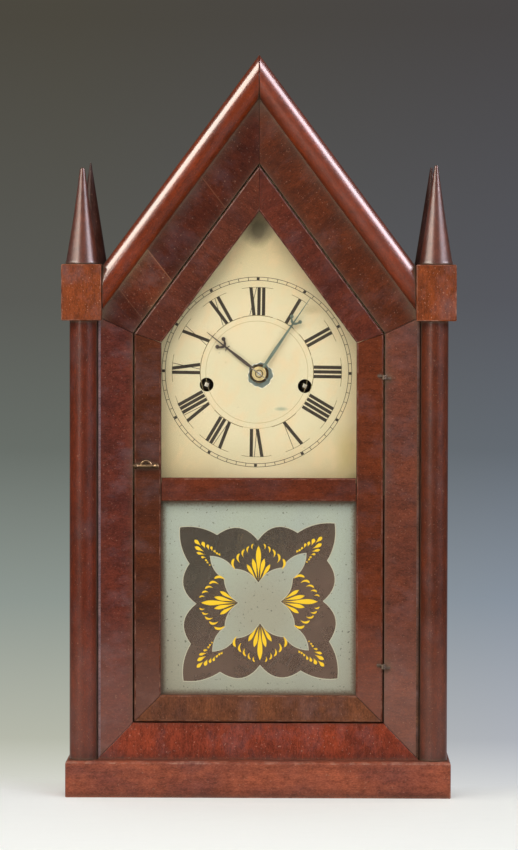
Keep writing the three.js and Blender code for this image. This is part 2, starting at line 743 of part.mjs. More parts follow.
// Door
const door = new THREE.Group();
clock.add(door);
const doorHalf = frameInnerHalf - DOOR_GAP;
const doorFoot = PLINTH_HEIGHT + RAIL_WIDTH + DOOR_GAP;
const doorInset = frameInnerInset + DOOR_GAP;
const doorBack = DOOR_FRONT + DOOR_THICK;
const glassFront = DOOR_FRONT + REBATE_LIP;
const doorOuter = gable(doorHalf, doorFoot, doorInset);
const sightHalf = doorHalf - DOOR_STILE;
const sightFoot = doorFoot + DOOR_STILE;
const sightInset = doorInset + DOOR_STILE;
const doorInner = gable(sightHalf, sightFoot, sightInset);
const arrisShare = DOOR_ARRIS / DOOR_STILE;
const rebateShare = 1 - REBATE_WIDTH / DOOR_STILE;
const doorSection = [
  [arrisShare, DOOR_FRONT],
  [1 - arrisShare, DOOR_FRONT],
  [1, DOOR_FRONT + DOOR_ARRIS],
  [1, glassFront],
  [rebateShare, glassFront],
  [rebateShare, doorBack],
  [0, doorBack],
  [0, DOOR_FRONT + DOOR_ARRIS],
];

function boredAt(geometry, x, z, radius, front, back) {
  const tool = rod(radius, front - CUT, back + CUT);
  tool.translate(x, 0, z);
  return cut(geometry, tool);
}

const doorBoard = (from, to) => mitred(doorOuter, doorInner, from, to, doorSection);
piece("door_bottom_rail", doorBoard("footLeft", "footRight"), "red_wood", door);
piece("door_hinge_stile", doorBoard("footRight", "eavesRight"), "red_wood", door);
piece("door_right_rake", doorBoard("eavesRight", "ridge"), "red_wood", door);
piece("door_left_rake", doorBoard("ridge", "eavesLeft"), "red_wood", door);
piece(
  "door_latch_stile",
  boredAt(
    doorBoard("eavesLeft", "footLeft"),
    catchPlace,
    CATCH_HEIGHT,
    CATCH_ARBOR_RADIUS + CLEAR,
    DOOR_FRONT,
    doorBack,
  ),
  "red_wood",
  door,
);

const middleRailTop = MIDDLE_RAIL_BOTTOM + MIDDLE_RAIL_WIDTH;
const lipSection = [
  [MIDDLE_RAIL_BOTTOM + DOOR_ARRIS, DOOR_FRONT],
  [middleRailTop - DOOR_ARRIS, DOOR_FRONT],
  [middleRailTop, DOOR_FRONT + DOOR_ARRIS],
  [middleRailTop, glassFront],
  [MIDDLE_RAIL_BOTTOM, glassFront],
  [MIDDLE_RAIL_BOTTOM, DOOR_FRONT + DOOR_ARRIS],
];
const lipRing = (x) => lipSection.map(([z, y]) => [x, y, z]);
const lipEnd = sightHalf - CLEAR;
const coreEnd = sightHalf + REBATE_WIDTH - CLEAR;
piece(
  "door_middle_rail",
  join(
    lofted([lipRing(-lipEnd), lipRing(lipEnd)], lipSection),
    box(
      -coreEnd,
      coreEnd,
      glassFront,
      doorBack,
      MIDDLE_RAIL_BOTTOM + REBATE_WIDTH,
      middleRailTop - REBATE_WIDTH,
    ),
  ),
  "red_wood",
  door,
);

const glassLap = REBATE_WIDTH - CLEAR;
piece(
  "upper_glass",
  prism(
    Object.values(gable(sightHalf + glassLap, middleRailTop - glassLap, sightInset - glassLap)),
    glassFront,
    glassFront + GLASS_THICK,
  ),
  "glass",
  door,
);
piece(
  "tablet_glass",
  box(
    -sightHalf - glassLap,
    sightHalf + glassLap,
    glassFront,
    glassFront + GLASS_THICK,
    sightFoot - glassLap,
    MIDDLE_RAIL_BOTTOM + glassLap,
  ),
  "glass",
  door,
);

// Hinges
const hingeX = frameInnerHalf - DOOR_GAP / 2;
const hingeY = DOOR_FRONT - CLEAR - KNUCKLE_RADIUS;
const strapBack = DOOR_FRONT - CLEAR;
const strapEnd = hingeX + HINGE_STRAP;
const frameFaceAtStrap = FRAME_FRONT + (FRAME_CANT * (CASE_HALF - strapEnd)) / STILE_WIDTH;

function knuckle(radius, bottom, top) {
  const geometry = turned(
    [
      [0, bottom],
      [radius, bottom],
      [radius, top],
      [0, top],
    ],
    SMALL_SIDES,
  );
  geometry.translate(hingeX, hingeY, 0);
  return geometry;
}

for (const [name, height] of Object.entries(HINGE_HEIGHTS)) {
  const bottom = height - HINGE_HEIGHT / 2;
  const top = height + HINGE_HEIGHT / 2;
  const frameTop = height - CLEAR / 2;
  const doorBottom = height + CLEAR / 2;
  const strapFront = strapBack - HINGE_STRAP_THICK;
  piece(
    `${name}_hinge_frame_leaf`,
    join(
      knuckle(KNUCKLE_RADIUS, bottom, frameTop),
      knuckle(HINGE_PIN_RADIUS, bottom, top),
      box(hingeX, strapEnd, strapFront, frameFaceAtStrap - CLEAR, bottom, frameTop),
    ),
    "brass",
  );
  piece(
    `${name}_hinge_door_leaf`,
    cut(
      join(
        knuckle(KNUCKLE_RADIUS, doorBottom, top),
        box(hingeX - HINGE_STRAP, hingeX, strapFront, strapBack, doorBottom, top),
      ),
      knuckle(HINGE_PIN_RADIUS + CLEAR, doorBottom - CUT, top + CUT),
    ),
    "brass",
    door,
  );
}

// Turn catch: a bar with ball ends, an arch over it, the arbor through the stile and its tongue
const catchBarY = DOOR_FRONT - CLEAR - CATCH_BALL_RADIUS;
const tongueBack = FRAME_BACK - TONGUE_BEHIND;
const ballCentre = CATCH_LENGTH / 2 - CATCH_BALL_RADIUS;
const neck = Math.sqrt(CATCH_BALL_RADIUS ** 2 - CATCH_BAR_RADIUS ** 2);
const ballEnd = Array.from({ length: BALL_STEPS }, (_, i) => {
  const angle = (i / BALL_STEPS) * (Math.PI - Math.asin(CATCH_BAR_RADIUS / CATCH_BALL_RADIUS));
  return [CATCH_BALL_RADIUS * Math.sin(angle), ballCentre + CATCH_BALL_RADIUS * Math.cos(angle)];
});
const barProfile = [
  ...ballEnd.map(([r, z]) => [r, -z]),
  [CATCH_BAR_RADIUS, neck - ballCentre],
  [CATCH_BAR_RADIUS, ballCentre - neck],
  ...ballEnd.slice().reverse(),
];
const catchBar = turned(barProfile, SMALL_SIDES);
catchBar.rotateY(Math.PI / 2);
catchBar.translate(0, catchBarY, 0);
const archOutline = Array.from({ length: ARCH_STEPS + 1 }, (_, i) => {
  const angle = (i * Math.PI) / ARCH_STEPS;
  return [(CATCH_ARCH_WIDTH / 2) * Math.cos(angle), CATCH_ARCH_HEIGHT * Math.sin(angle)];
});
const archEye = circle(0, CATCH_ARCH_HEIGHT / 2, CATCH_ARCH_EYE, SMALL_SIDES);
const turnCatch = piece(
  "door_catch",
  join(
    catchBar,
    prism(archOutline, catchBarY - CATCH_ARCH_THICK / 2, catchBarY + CATCH_ARCH_THICK / 2, [archEye]),
    rod(CATCH_ARBOR_RADIUS, catchBarY, tongueBack),
    box(
      -TONGUE_WIDTH / 2,
      TONGUE_WIDTH / 2,
      tongueBack - TONGUE_THICK,
      tongueBack,
      -TONGUE_LENGTH,
      TONGUE_WIDTH / 2,
    ),
  ),
  "brass",
  door,
);
turnCatch.position.set(catchPlace, 0, CATCH_HEIGHT);

// Dial
const dialInset = frameInnerInset - DIAL_LAP;
const dialBack = FRAME_BACK + DIAL_THICK;
const windings = { time: TIME_WINDING, strike: STRIKE_WINDING };
piece(
  "dial",
  prism(Object.values(gable(frameInnerHalf + DIAL_LAP, DIAL_BOTTOM, dialInset)), FRAME_BACK, dialBack, [
    circle(0, DIAL_HEIGHT, DIAL_CENTRE_HOLE),
    ...Object.values(windings).map(({ x, z }) => circle(x, DIAL_HEIGHT + z, WINDING_HOLE)),
  ]),
  "painted_zinc",
);

// Movement, in a group whose origin is on the line of the centre arbor
const movement = new THREE.Group();
movement.position.set(0, 0, DIAL_HEIGHT);
clock.add(movement);

// The hands reach towards the nearest edge of the glass that shows
const rakeSlope = Math.atan2(APEX_HEIGHT - EAVES_HEIGHT, CASE_HALF);
const toRake = (rakeHeight(0, sightInset) - DIAL_HEIGHT) * Math.cos(rakeSlope);
const handReach = Math.min(toRake, sightHalf) - HAND_CLEAR;

// A hand that points straight up, with its cross and the boss round its hole
function hand({ reachShare, crossShare, boss }, front, bore) {
  const back = front + HAND_THICK;
  const length = handReach * reachShare;
  const cross = length * crossShare;
  const bar = HAND_CROSS_BAR / 2;
  const blade = [
    [-HAND_WIDTH / 2, 0],
    [HAND_WIDTH / 2, 0],
    [HAND_TIP_WIDTH / 2, length - HAND_TIP_WIDTH],
    [0, length],
    [-HAND_TIP_WIDTH / 2, length - HAND_TIP_WIDTH],
  ];
  const crossOutline = [
    [-HAND_CROSS, cross - HAND_CROSS_BAR],
    [-bar, cross - bar],
    [-HAND_CROSS_BAR, cross - HAND_CROSS],
    [HAND_CROSS_BAR, cross - HAND_CROSS],
    [bar, cross - bar],
    [HAND_CROSS, cross - HAND_CROSS_BAR],
    [HAND_CROSS, cross + HAND_CROSS_BAR],
    [bar, cross + bar],
    [HAND_CROSS_BAR, cross + HAND_CROSS],
    [-HAND_CROSS_BAR, cross + HAND_CROSS],
    [-bar, cross + bar],
    [-HAND_CROSS, cross + HAND_CROSS_BAR],
  ];
  const whole = join(
    prism(circle(0, 0, boss), front, back),
    prism(blade, front, back),
    prism(crossOutline, front, back),
  );
  return boredAt(whole, 0, 0, bore, front, back);
}

const hourHand = piece(
  "hour_hand",
  hand(HOUR_HAND, HOUR_HAND_FRONT, HOUR_PIPE_RADIUS + CLEAR),
  "blued_steel",
  movement,
);
hourHand.rotation.y = THREE.MathUtils.degToRad(HOUR_HAND.angle);
const minuteHand = piece(
  "minute_hand",
  hand(MINUTE_HAND, MINUTE_HAND_FRONT, HAND_ARBOR_RADIUS + CLEAR),
  "blued_steel",
  movement,
);
minuteHand.rotation.y = THREE.MathUtils.degToRad(MINUTE_HAND.angle);

// Wheels and pinions. Angles run from +X towards +Z.

// The outline of a toothed wheel: each tooth has two root points and two tip points
function toothed({ teeth, tip, root, tipShare, rootShare, lean = 0, phase = 0 }) {
  const pitch = (2 * Math.PI) / teeth;
  const corners = [
    [root, lean - rootShare],
    [tip, -tipShare],
    [tip, tipShare],
    [root, lean + rootShare],
  ];
  const outline = [];
  for (let k = 0; k < teeth; k += 1) {
    for (const [radius, share] of corners) {
      const angle = phase + (k + share) * pitch;
      outline.push([radius * Math.cos(angle), radius * Math.sin(angle)]);
    }
  }
  return outline;
}

function wheelOutline(teeth, module, phase) {
  const radius = (teeth * module) / 2;
  return toothed({
    teeth,
    tip: radius + TOOTH_ADDENDUM_SHARE * module,
    root: radius - TOOTH_DEDENDUM_SHARE * module,
    tipShare: TOOTH_TIP_SHARE,
    rootShare: TOOTH_ROOT_SHARE,
    phase,
  });
}

function pinionOutline(teeth, module, phase) {
  const radius = (teeth * module) / 2;
  return toothed({
    teeth,
    tip: radius + LEAF_ADDENDUM_SHARE * module,
    root: radius - LEAF_DEDENDUM_SHARE * module,
    tipShare: LEAF_TIP_SHARE,
    rootShare: LEAF_ROOT_SHARE,
    phase,
  });
}

// Windows between the spokes of a wheel, each with an arc inside and an arc outside
function spokeWindows(inner, outer, count = WHEEL_SPOKES) {
  return Array.from({ length: count }, (_, k) => {
    const edge = (radius, sign) => {
      const half = Math.asin(SPOKE_WIDTH / 2 / radius);
      return ((k + (sign + 1) / 2) * 2 * Math.PI) / count - sign * half;
    };
    const arc = (radius, from, to) =>
      Array.from({ length: WINDOW_STEPS + 1 }, (_, i) => {
        const angle = from + ((to - from) * i) / WINDOW_STEPS;
        return [radius * Math.cos(angle), radius * Math.sin(angle)];
      });
    return [
      ...arc(outer, edge(outer, -1), edge(outer, 1)),
      ...arc(inner, edge(inner, 1), edge(inner, -1)),
    ];
  });
}

function spoked(teeth, module, front, thick, hub) {
  const rim = (teeth * module) / 2 - TOOTH_DEDENDUM_SHARE * module - WHEEL_RIM;
  return prism(wheelOutline(teeth, module, 0), front, front + thick, spokeWindows(hub, rim));
}

function pinion(teeth, module, phase, middle, length = LEAF_LENGTH) {
  const outline = pinionOutline(teeth, module, phase);
  return prism(outline, middle - length / 2, middle + length / 2);
}

// The turn that brings a wheel into mesh with its driver: both angles are of the middle of a tooth
function meshPhase(driverPhase, driverTeeth, teeth, direction) {
  const pitch = (2 * Math.PI) / teeth;
  const driverPitch = (2 * Math.PI) / driverTeeth;
  return direction + Math.PI - pitch * ((driverPhase - direction) / driverPitch - 1 / 2);
}

const directionOf = (from, to) => Math.atan2(to.z - from.z, to.x - from.x);
const distanceOf = (from, to) => Math.hypot(to.x - from.x, to.z - from.z);

// A steel arbor between the plates, with a pivot at each end
const frontPlateBack = FRONT_PLATE + PLATE_THICK;
const backPlateBack = BACK_PLATE + PLATE_THICK;

function arbor(radius = ARBOR_RADIUS) {
  return arborTurned([
    [0, FRONT_PLATE - PIVOT_PROUD],
    [PIVOT_RADIUS, FRONT_PLATE - PIVOT_PROUD],
    [PIVOT_RADIUS, frontPlateBack + ARBOR_SHAKE],
    [radius, frontPlateBack + ARBOR_SHAKE],
    [radius, BACK_PLATE - ARBOR_SHAKE],
    [PIVOT_RADIUS, BACK_PLATE - ARBOR_SHAKE],
    [PIVOT_RADIUS, backPlateBack + PIVOT_PROUD],
    [0, backPlateBack + PIVOT_PROUD],
  ]);
}

// Places of the arbors, from the centre arbor
const centre = { x: 0, z: 0 };
const centreToThird = ((TRAIN_TEETH + TRAIN_PINION) / 2) * CENTRE_MODULE;
const thirdToEscape = ((TRAIN_TEETH + TRAIN_PINION) / 2) * THIRD_MODULE;
const third = { x: THIRD_ASIDE, z: Math.sqrt(centreToThird ** 2 - THIRD_ASIDE ** 2) };
const escape = { x: 0, z: third.z + Math.sqrt(thirdToEscape ** 2 - THIRD_ASIDE ** 2) };
const palletHalf = (PALLET_SPAN / ESCAPE_TEETH) * Math.PI;
const verge = { x: 0, z: escape.z + ESCAPE_RADIUS / Math.cos(palletHalf) };
const greatModule = (2 * distanceOf(centre, TIME_WINDING)) / (GREAT_TEETH + GREAT_PINION);
const motionDistance = ((MOTION_PINION + MINUTE_WHEEL_TEETH) / 2) * MOTION_MODULE;
const hourModule = (2 * motionDistance) / (MINUTE_PINION + HOUR_WHEEL_TEETH);
const minuteWheelPlace = { x: 0, z: -motionDistance };

// Centre arbor with its wheel, pinion, cannon pipe and the washer that holds the minute hand
const handBack = MINUTE_HAND_FRONT + HAND_THICK;
const cannonFront = handBack + CLEAR;
const washerBack = MINUTE_HAND_FRONT - CLEAR;
const washerFront = washerBack - HAND_WASHER_THICK;
const greatMiddle = GREAT_WHEEL_FRONT + GREAT_WHEEL_THICK / 2;
const centreShaft = arborTurned([
  [0, washerFront - HAND_PIN_PROUD],
  [ARBOR_RADIUS, washerFront - HAND_PIN_PROUD],
  [ARBOR_RADIUS, washerFront],
  [HAND_WASHER_RADIUS, washerFront],
  [HAND_WASHER_RADIUS, washerBack],
  [HAND_ARBOR_RADIUS, washerBack],
  [HAND_ARBOR_RADIUS, cannonFront],
  [MINUTE_PIPE_RADIUS, cannonFront],
  [MINUTE_PIPE_RADIUS, MOTION_PINION_FRONT + MOTION_PINION_THICK],
  [CENTRE_ARBOR_RADIUS, MOTION_PINION_FRONT + MOTION_PINION_THICK],
  [CENTRE_ARBOR_RADIUS, BACK_PLATE - ARBOR_SHAKE],
  [PIVOT_RADIUS, BACK_PLATE - ARBOR_SHAKE],
  [PIVOT_RADIUS, backPlateBack + PIVOT_PROUD],
  [0, backPlateBack + PIVOT_PROUD],
]);
const motionPinionMiddle = MOTION_PINION_FRONT + MOTION_PINION_THICK / 2;
piece(
  "centre_wheel",
  join(
    centreShaft,
    pinion(GREAT_PINION, greatModule, 0, greatMiddle),
    pinion(MOTION_PINION, MOTION_MODULE, 0, motionPinionMiddle, MOTION_PINION_THICK),
    spoked(TRAIN_TEETH, CENTRE_MODULE, CENTRE_WHEEL_FRONT, WHEEL_THICK, WHEEL_HUB),
  ),
  "brass",
  movement,
);

// Third wheel
const thirdPinionPhase = meshPhase(0, TRAIN_TEETH, TRAIN_PINION, directionOf(centre, third));
const thirdWheel = piece(
  "third_wheel",
  join(
    arbor(),
    pinion(TRAIN_PINION, CENTRE_MODULE, thirdPinionPhase, CENTRE_WHEEL_FRONT + WHEEL_THICK / 2),
    spoked(TRAIN_TEETH, THIRD_MODULE, THIRD_WHEEL_FRONT, WHEEL_THICK, WHEEL_HUB),
  ),
  "brass",
  movement,
);
thirdWheel.position.set(third.x, 0, third.z);

// Escape wheel
const escapePinionPhase = meshPhase(0, TRAIN_TEETH, TRAIN_PINION, directionOf(third, escape));
const escapePitch = (2 * Math.PI) / ESCAPE_TEETH;
const escapeRoot = ESCAPE_RADIUS - ESCAPE_DEPTH;
const escapeOutline = toothed({
  teeth: ESCAPE_TEETH,
  tip: ESCAPE_RADIUS,
  root: escapeRoot,
  tipShare: ESCAPE_TIP_HALF / (ESCAPE_RADIUS * escapePitch),
  rootShare: TOOTH_ROOT_SHARE,
  lean: ESCAPE_LEAN_SHARE,
  phase: Math.PI / 2 + palletHalf + QUARTER_SHARE * escapePitch,
});
const escapeWheel = piece(
  "escape_wheel",
  join(
    arbor(),
    pinion(TRAIN_PINION, THIRD_MODULE, escapePinionPhase, THIRD_WHEEL_FRONT + WHEEL_THICK / 2),
    prism(
      escapeOutline,
      ESCAPE_WHEEL_FRONT,
      ESCAPE_WHEEL_FRONT + WHEEL_THICK,
      spokeWindows(WHEEL_HUB, escapeRoot - WHEEL_RIM),
    ),
  ),
  "brass",
  movement,
);
escapeWheel.position.set(escape.x, 0, escape.z);

// A great wheel on its winding arbor, whose square reaches the hole in the dial
function greatWheel(phase) {
  const half = WINDING_SQUARE / 2;
  const square = box(-half, half, WINDING_SQUARE_FRONT, WINDING_SQUARE_BACK, -half, half);
  const shaft = arborTurned([
    [0, WINDING_SQUARE_BACK],
    [WINDING_ARBOR_RADIUS, WINDING_SQUARE_BACK],
    [WINDING_ARBOR_RADIUS, BACK_PLATE - ARBOR_SHAKE],
    [GREAT_PIVOT_RADIUS, BACK_PLATE - ARBOR_SHAKE],
    [GREAT_PIVOT_RADIUS, backPlateBack + PIVOT_PROUD],
    [0, backPlateBack + PIVOT_PROUD],
  ]);
  const rim = (GREAT_TEETH * greatModule) / 2 - TOOTH_DEDENDUM_SHARE * greatModule - GREAT_RIM;
  const disc = prism(
    wheelOutline(GREAT_TEETH, greatModule, phase),
    GREAT_WHEEL_FRONT,
    GREAT_WHEEL_FRONT + GREAT_WHEEL_THICK,
    spokeWindows(GREAT_HUB, rim),
  );
  const withSquare = box(-half, half, WINDING_SQUARE_BACK, WINDING_SQUARE_BACK + half, -half, half);
  return join(square, withSquare, shaft, disc);
}

const timeGreatPhase = meshPhase(0, GREAT_PINION, GREAT_TEETH, directionOf(centre, TIME_WINDING));
const timeGreat = piece("time_great_wheel", greatWheel(timeGreatPhase), "brass", movement);
timeGreat.position.set(TIME_WINDING.x, 0, TIME_WINDING.z);

// A mainspring: a flat spiral whose outer end runs to a pillar
const springInner = WINDING_ARBOR_RADIUS + CLEAR + SPRING_THICK / 2;
const springSteps = SPRING_TURNS * SPRING_STEPS_A_TURN;

function mainspring(pillar, sense) {
  const endAngle = Math.atan2(pillar.z, pillar.x);
  const reach = Math.hypot(pillar.x, pillar.z) - PILLAR_RADIUS - CLEAR;
  const line = Array.from({ length: springSteps + 1 }, (_, i) => {
    const along = i / springSteps;
    const angle = endAngle - sense * (1 - along) * SPRING_TURNS * 2 * Math.PI;
    return { angle, radius: springInner + along * (SPRING_OUTER - springInner) };
  });
  const pitch = (SPRING_OUTER - springInner) / SPRING_TURNS;
  console.log(`mainspring: least gap between turns ${(pitch - SPRING_THICK).toFixed(2)} mm`);
  const half = SPRING_THICK / 2;
  const ringAt = ({ angle, radius }) =>
    [
      [radius - half, SPRING_FRONT],
      [radius + half, SPRING_FRONT],
      [radius + half, SPRING_FRONT + SPRING_WIDTH],
      [radius - half, SPRING_FRONT + SPRING_WIDTH],
    ].map(([r, y]) => [r * Math.cos(angle), y, r * Math.sin(angle)]);
  const rings = line.map(ringAt);
  const spiral = lofted(rings, [
    [-half, SPRING_FRONT],
    [half, SPRING_FRONT],
    [half, SPRING_FRONT + SPRING_WIDTH],
    [-half, SPRING_FRONT + SPRING_WIDTH],
  ]);
  const tail = box(SPRING_OUTER - half, reach, SPRING_FRONT, SPRING_FRONT + SPRING_WIDTH, -half, half);
  tail.rotateY(-endAngle);
  return join(spiral, tail);
}

const pillarLow = { x: PLATE_FOOT_HALF - PILLAR_IN, z: PLATE_BOTTOM + PILLAR_IN };
const pillarHigh = { x: PLATE_HEAD_HALF - PILLAR_IN, z: PLATE_TOP - PILLAR_IN };
const timeSpring = piece(
  "time_mainspring",
  mainspring({ x: pillarLow.x - TIME_WINDING.x, z: pillarLow.z - TIME_WINDING.z }, 1),
  "steel",
  movement,
);
timeSpring.position.set(TIME_WINDING.x, 0, TIME_WINDING.z);

const strikeSpring = piece(
  "strike_mainspring",
  mainspring({ x: -pillarLow.x - STRIKE_WINDING.x, z: pillarLow.z - STRIKE_WINDING.z }, -1),
  "steel",
  movement,
);
strikeSpring.position.set(STRIKE_WINDING.x, 0, STRIKE_WINDING.z);

// Strike train. Its great wheel stands as far from the pin wheel's arbor as the time wheel from the centre.
const greatDistance = distanceOf(centre, TIME_WINDING);
const pinArbor = {
  x: STRIKE_WINDING.x + PIN_ARBOR_ASIDE,
  z: STRIKE_WINDING.z + Math.sqrt(greatDistance ** 2 - PIN_ARBOR_ASIDE ** 2),
};
const flyDistance = ((TRAIN_TEETH + TRAIN_PINION) / 2) * THIRD_MODULE;
const flyArbor = {
  x: pinArbor.x - FLY_ASIDE,
  z: pinArbor.z + Math.sqrt(flyDistance ** 2 - FLY_ASIDE ** 2),
};
const strikeGreat = piece("strike_great_wheel", greatWheel(0), "brass", movement);
strikeGreat.position.set(STRIKE_WINDING.x, 0, STRIKE_WINDING.z);

// Pin wheel, with a pinion at each end of its arbor: one for the great wheel, one for the count wheel
const countModule = (2 * greatDistance) / (COUNT_TEETH + COUNT_PINION);
const countMiddle = COUNT_WHEEL_FRONT + WHEEL_THICK / 2;
const pinWheelBack = PIN_WHEEL_FRONT + WHEEL_THICK;
const toPinArbor = directionOf(STRIKE_WINDING, pinArbor);
const pins = circle(0, 0, PIN_RING, PINS).map(([x, z]) => {
  const geometry = rod(PIN_RADIUS, pinWheelBack - WHEEL_THICK / 2, pinWheelBack + PIN_PROUD, PIN_SIDES);
  geometry.translate(x, 0, z);
  return geometry;
});
const pinWheel = piece(
  "pin_wheel",
  join(
    arbor(),
    pinion(GREAT_PINION, greatModule, meshPhase(0, GREAT_TEETH, GREAT_PINION, toPinArbor), greatMiddle),
    spoked(TRAIN_TEETH, THIRD_MODULE, PIN_WHEEL_FRONT, WHEEL_THICK, WHEEL_HUB),
    ...pins,
    pinion(COUNT_PINION, countModule, 0, countMiddle, COUNT_LEAF_LENGTH),
  ),
  "brass",
  movement,
);
pinWheel.position.set(pinArbor.x, 0, pinArbor.z);

// Count wheel, loose on the winding arbor, with a slot after the blows of each hour
const countPhase = meshPhase(0, COUNT_PINION, COUNT_TEETH, toPinArbor + Math.PI);
const countSlots = Array.from({ length: HOURS }, (_, hour) => {
  const blows = ((hour + 1) * (hour + 2)) / 2;
  const angle = countPhase + (blows * 2 * Math.PI) / COUNT_TEETH;
  const half = COUNT_SLOT_WIDTH / 2;
  return [
    [COUNT_SLOT_INNER, -half],
    [COUNT_SLOT_OUTER, -half],
    [COUNT_SLOT_OUTER, half],
    [COUNT_SLOT_INNER, half],
  ].map(([out, aside]) => [
    out * Math.cos(angle) - aside * Math.sin(angle),
    out * Math.sin(angle) + aside * Math.cos(angle),
  ]);
});
const countWheel = piece(
  "count_wheel",
  prism(
    wheelOutline(COUNT_TEETH, countModule, countPhase),
    COUNT_WHEEL_FRONT,
    COUNT_WHEEL_FRONT + WHEEL_THICK,
    [circle(0, 0, WINDING_ARBOR_RADIUS + CLEAR), ...countSlots],
  ),
  "brass",
  movement,
);
countWheel.position.set(STRIKE_WINDING.x, 0, STRIKE_WINDING.z);

// Fly: a sheet-brass vane that the air slows
const flyPhase = meshPhase(0, TRAIN_TEETH, TRAIN_PINION, directionOf(pinArbor, flyArbor));
const flyBack = BACK_PLATE - FLY_OFF;
const fly = piece(
  "fly",
  join(
    arbor(),
    pinion(TRAIN_PINION, THIRD_MODULE, flyPhase, PIN_WHEEL_FRONT + WHEEL_THICK / 2),
    rod(FLY_HUB, flyBack - FLY_LENGTH, flyBack),
    box(-FLY_RADIUS, FLY_RADIUS, flyBack - FLY_LENGTH, flyBack, -FLY_THICK / 2, FLY_THICK / 2),
  ),
  "brass",
  movement,
);
fly.position.set(flyArbor.x, 0, flyArbor.z);

// Hammer: an arbor with a tail that the pins lift, and a wire with a head that falls towards the gong
const hammerTailFront = pinWheelBack + HAMMER_TAIL_OFF;
const tailLength = distanceOf(HAMMER_ARBOR, pinArbor) - PIN_RING - PIN_RADIUS - HAMMER_TAIL_OFF;
const hammerTail = box(
  0,
  tailLength,
  hammerTailFront,
  hammerTailFront + HAMMER_TAIL_THICK,
  -HAMMER_TAIL_WIDTH / 2,
  HAMMER_TAIL_WIDTH / 2,
);
hammerTail.rotateY(-directionOf(HAMMER_ARBOR, pinArbor));
const gongReach = GONG_OUTER + GONG_WIRE;
const headFoot = HAMMER_UP - HAMMER_HEAD_RADIUS;
const headEnd = GONG_OFFSET - Math.sqrt(gongReach ** 2 - headFoot ** 2) - HAMMER_GAP;
const headX = headEnd - HAMMER_HEAD_LENGTH / 2 - HAMMER_ARBOR.x;
const headZ = GONG_HEIGHT + HAMMER_UP - DIAL_HEIGHT - HAMMER_ARBOR.z;
const hammerHead = turned(
  [
    [0, -HAMMER_HEAD_LENGTH / 2],
    [HAMMER_HEAD_RADIUS, -HAMMER_HEAD_LENGTH / 2],
    [HAMMER_HEAD_RADIUS, HAMMER_HEAD_LENGTH / 2],
    [0, HAMMER_HEAD_LENGTH / 2],
  ],
  SMALL_SIDES,
);
hammerHead.rotateY(Math.PI / 2);
hammerHead.translate(headX, GONG_PLANE, headZ);
const hammerWire = turned(
  [
    [0, -Math.hypot(headX, headZ)],
    [HAMMER_WIRE, -Math.hypot(headX, headZ)],
    [HAMMER_WIRE, 0],
    [0, 0],
  ],
  SMALL_SIDES,
);
hammerWire.rotateY(Math.atan2(-headX, -headZ));
hammerWire.translate(0, GONG_PLANE, 0);
const hammerShaft = arborTurned([
  [0, FRONT_PLATE - PIVOT_PROUD],
  [PIVOT_RADIUS, FRONT_PLATE - PIVOT_PROUD],
  [PIVOT_RADIUS, frontPlateBack + ARBOR_SHAKE],
  [ARBOR_RADIUS, frontPlateBack + ARBOR_SHAKE],
  [ARBOR_RADIUS, GONG_PLANE + ARBOR_RADIUS],
  [0, GONG_PLANE + ARBOR_RADIUS],
]);
const hammer = piece("hammer", join(hammerShaft, hammerTail, hammerWire, hammerHead), "steel", movement);
hammer.position.set(HAMMER_ARBOR.x, 0, HAMMER_ARBOR.z);

// Motion work: the minute wheel on its stud, and the hour wheel with the pipe of the hour hand
const cannonMiddle = MOTION_PINION_FRONT + MOTION_PINION_THICK / 2;
const toMinuteWheel = directionOf(centre, minuteWheelPlace);
const minuteWheelPhase = meshPhase(0, MOTION_PINION, MINUTE_WHEEL_TEETH, toMinuteWheel);
const hourWheelPhase = meshPhase(0, MINUTE_PINION, HOUR_WHEEL_TEETH, toMinuteWheel + Math.PI);
const minuteWheelFront = cannonMiddle - MOTION_WHEEL_THICK / 2;
const hourWheelMiddle = HOUR_WHEEL_FRONT + MOTION_WHEEL_THICK / 2;
const minuteWheel = piece(
  "minute_wheel",
  boredAt(
    join(
      prism(
        wheelOutline(MINUTE_WHEEL_TEETH, MOTION_MODULE, minuteWheelPhase),
        minuteWheelFront,
        minuteWheelFront + MOTION_WHEEL_THICK,
      ),
      prism(
        pinionOutline(MINUTE_PINION, hourModule, 0),
        HOUR_WHEEL_FRONT - CLEAR,
        minuteWheelFront + MOTION_WHEEL_THICK / 2,
      ),
    ),
    0,
    0,
    STUD_RADIUS + CLEAR,
    HOUR_WHEEL_FRONT - CLEAR,
    minuteWheelFront + MOTION_WHEEL_THICK,
  ),
  "brass",
  movement,
);
minuteWheel.position.set(minuteWheelPlace.x, 0, minuteWheelPlace.z);
piece(
  "hour_wheel",
  boredAt(
    join(
      prism(
        wheelOutline(HOUR_WHEEL_TEETH, hourModule, hourWheelPhase),
        HOUR_WHEEL_FRONT,
        HOUR_WHEEL_FRONT + MOTION_WHEEL_THICK,
      ),
      rod(HOUR_PIPE_RADIUS, HOUR_HAND_FRONT - HOUR_PIPE_PROUD, hourWheelMiddle, ROUND_SIDES),
    ),
    0,
    0,
    HOUR_PIPE_BORE,
    HOUR_HAND_FRONT - HOUR_PIPE_PROUD,
    HOUR_WHEEL_FRONT + MOTION_WHEEL_THICK,
  ),
  "brass",
  movement,
);

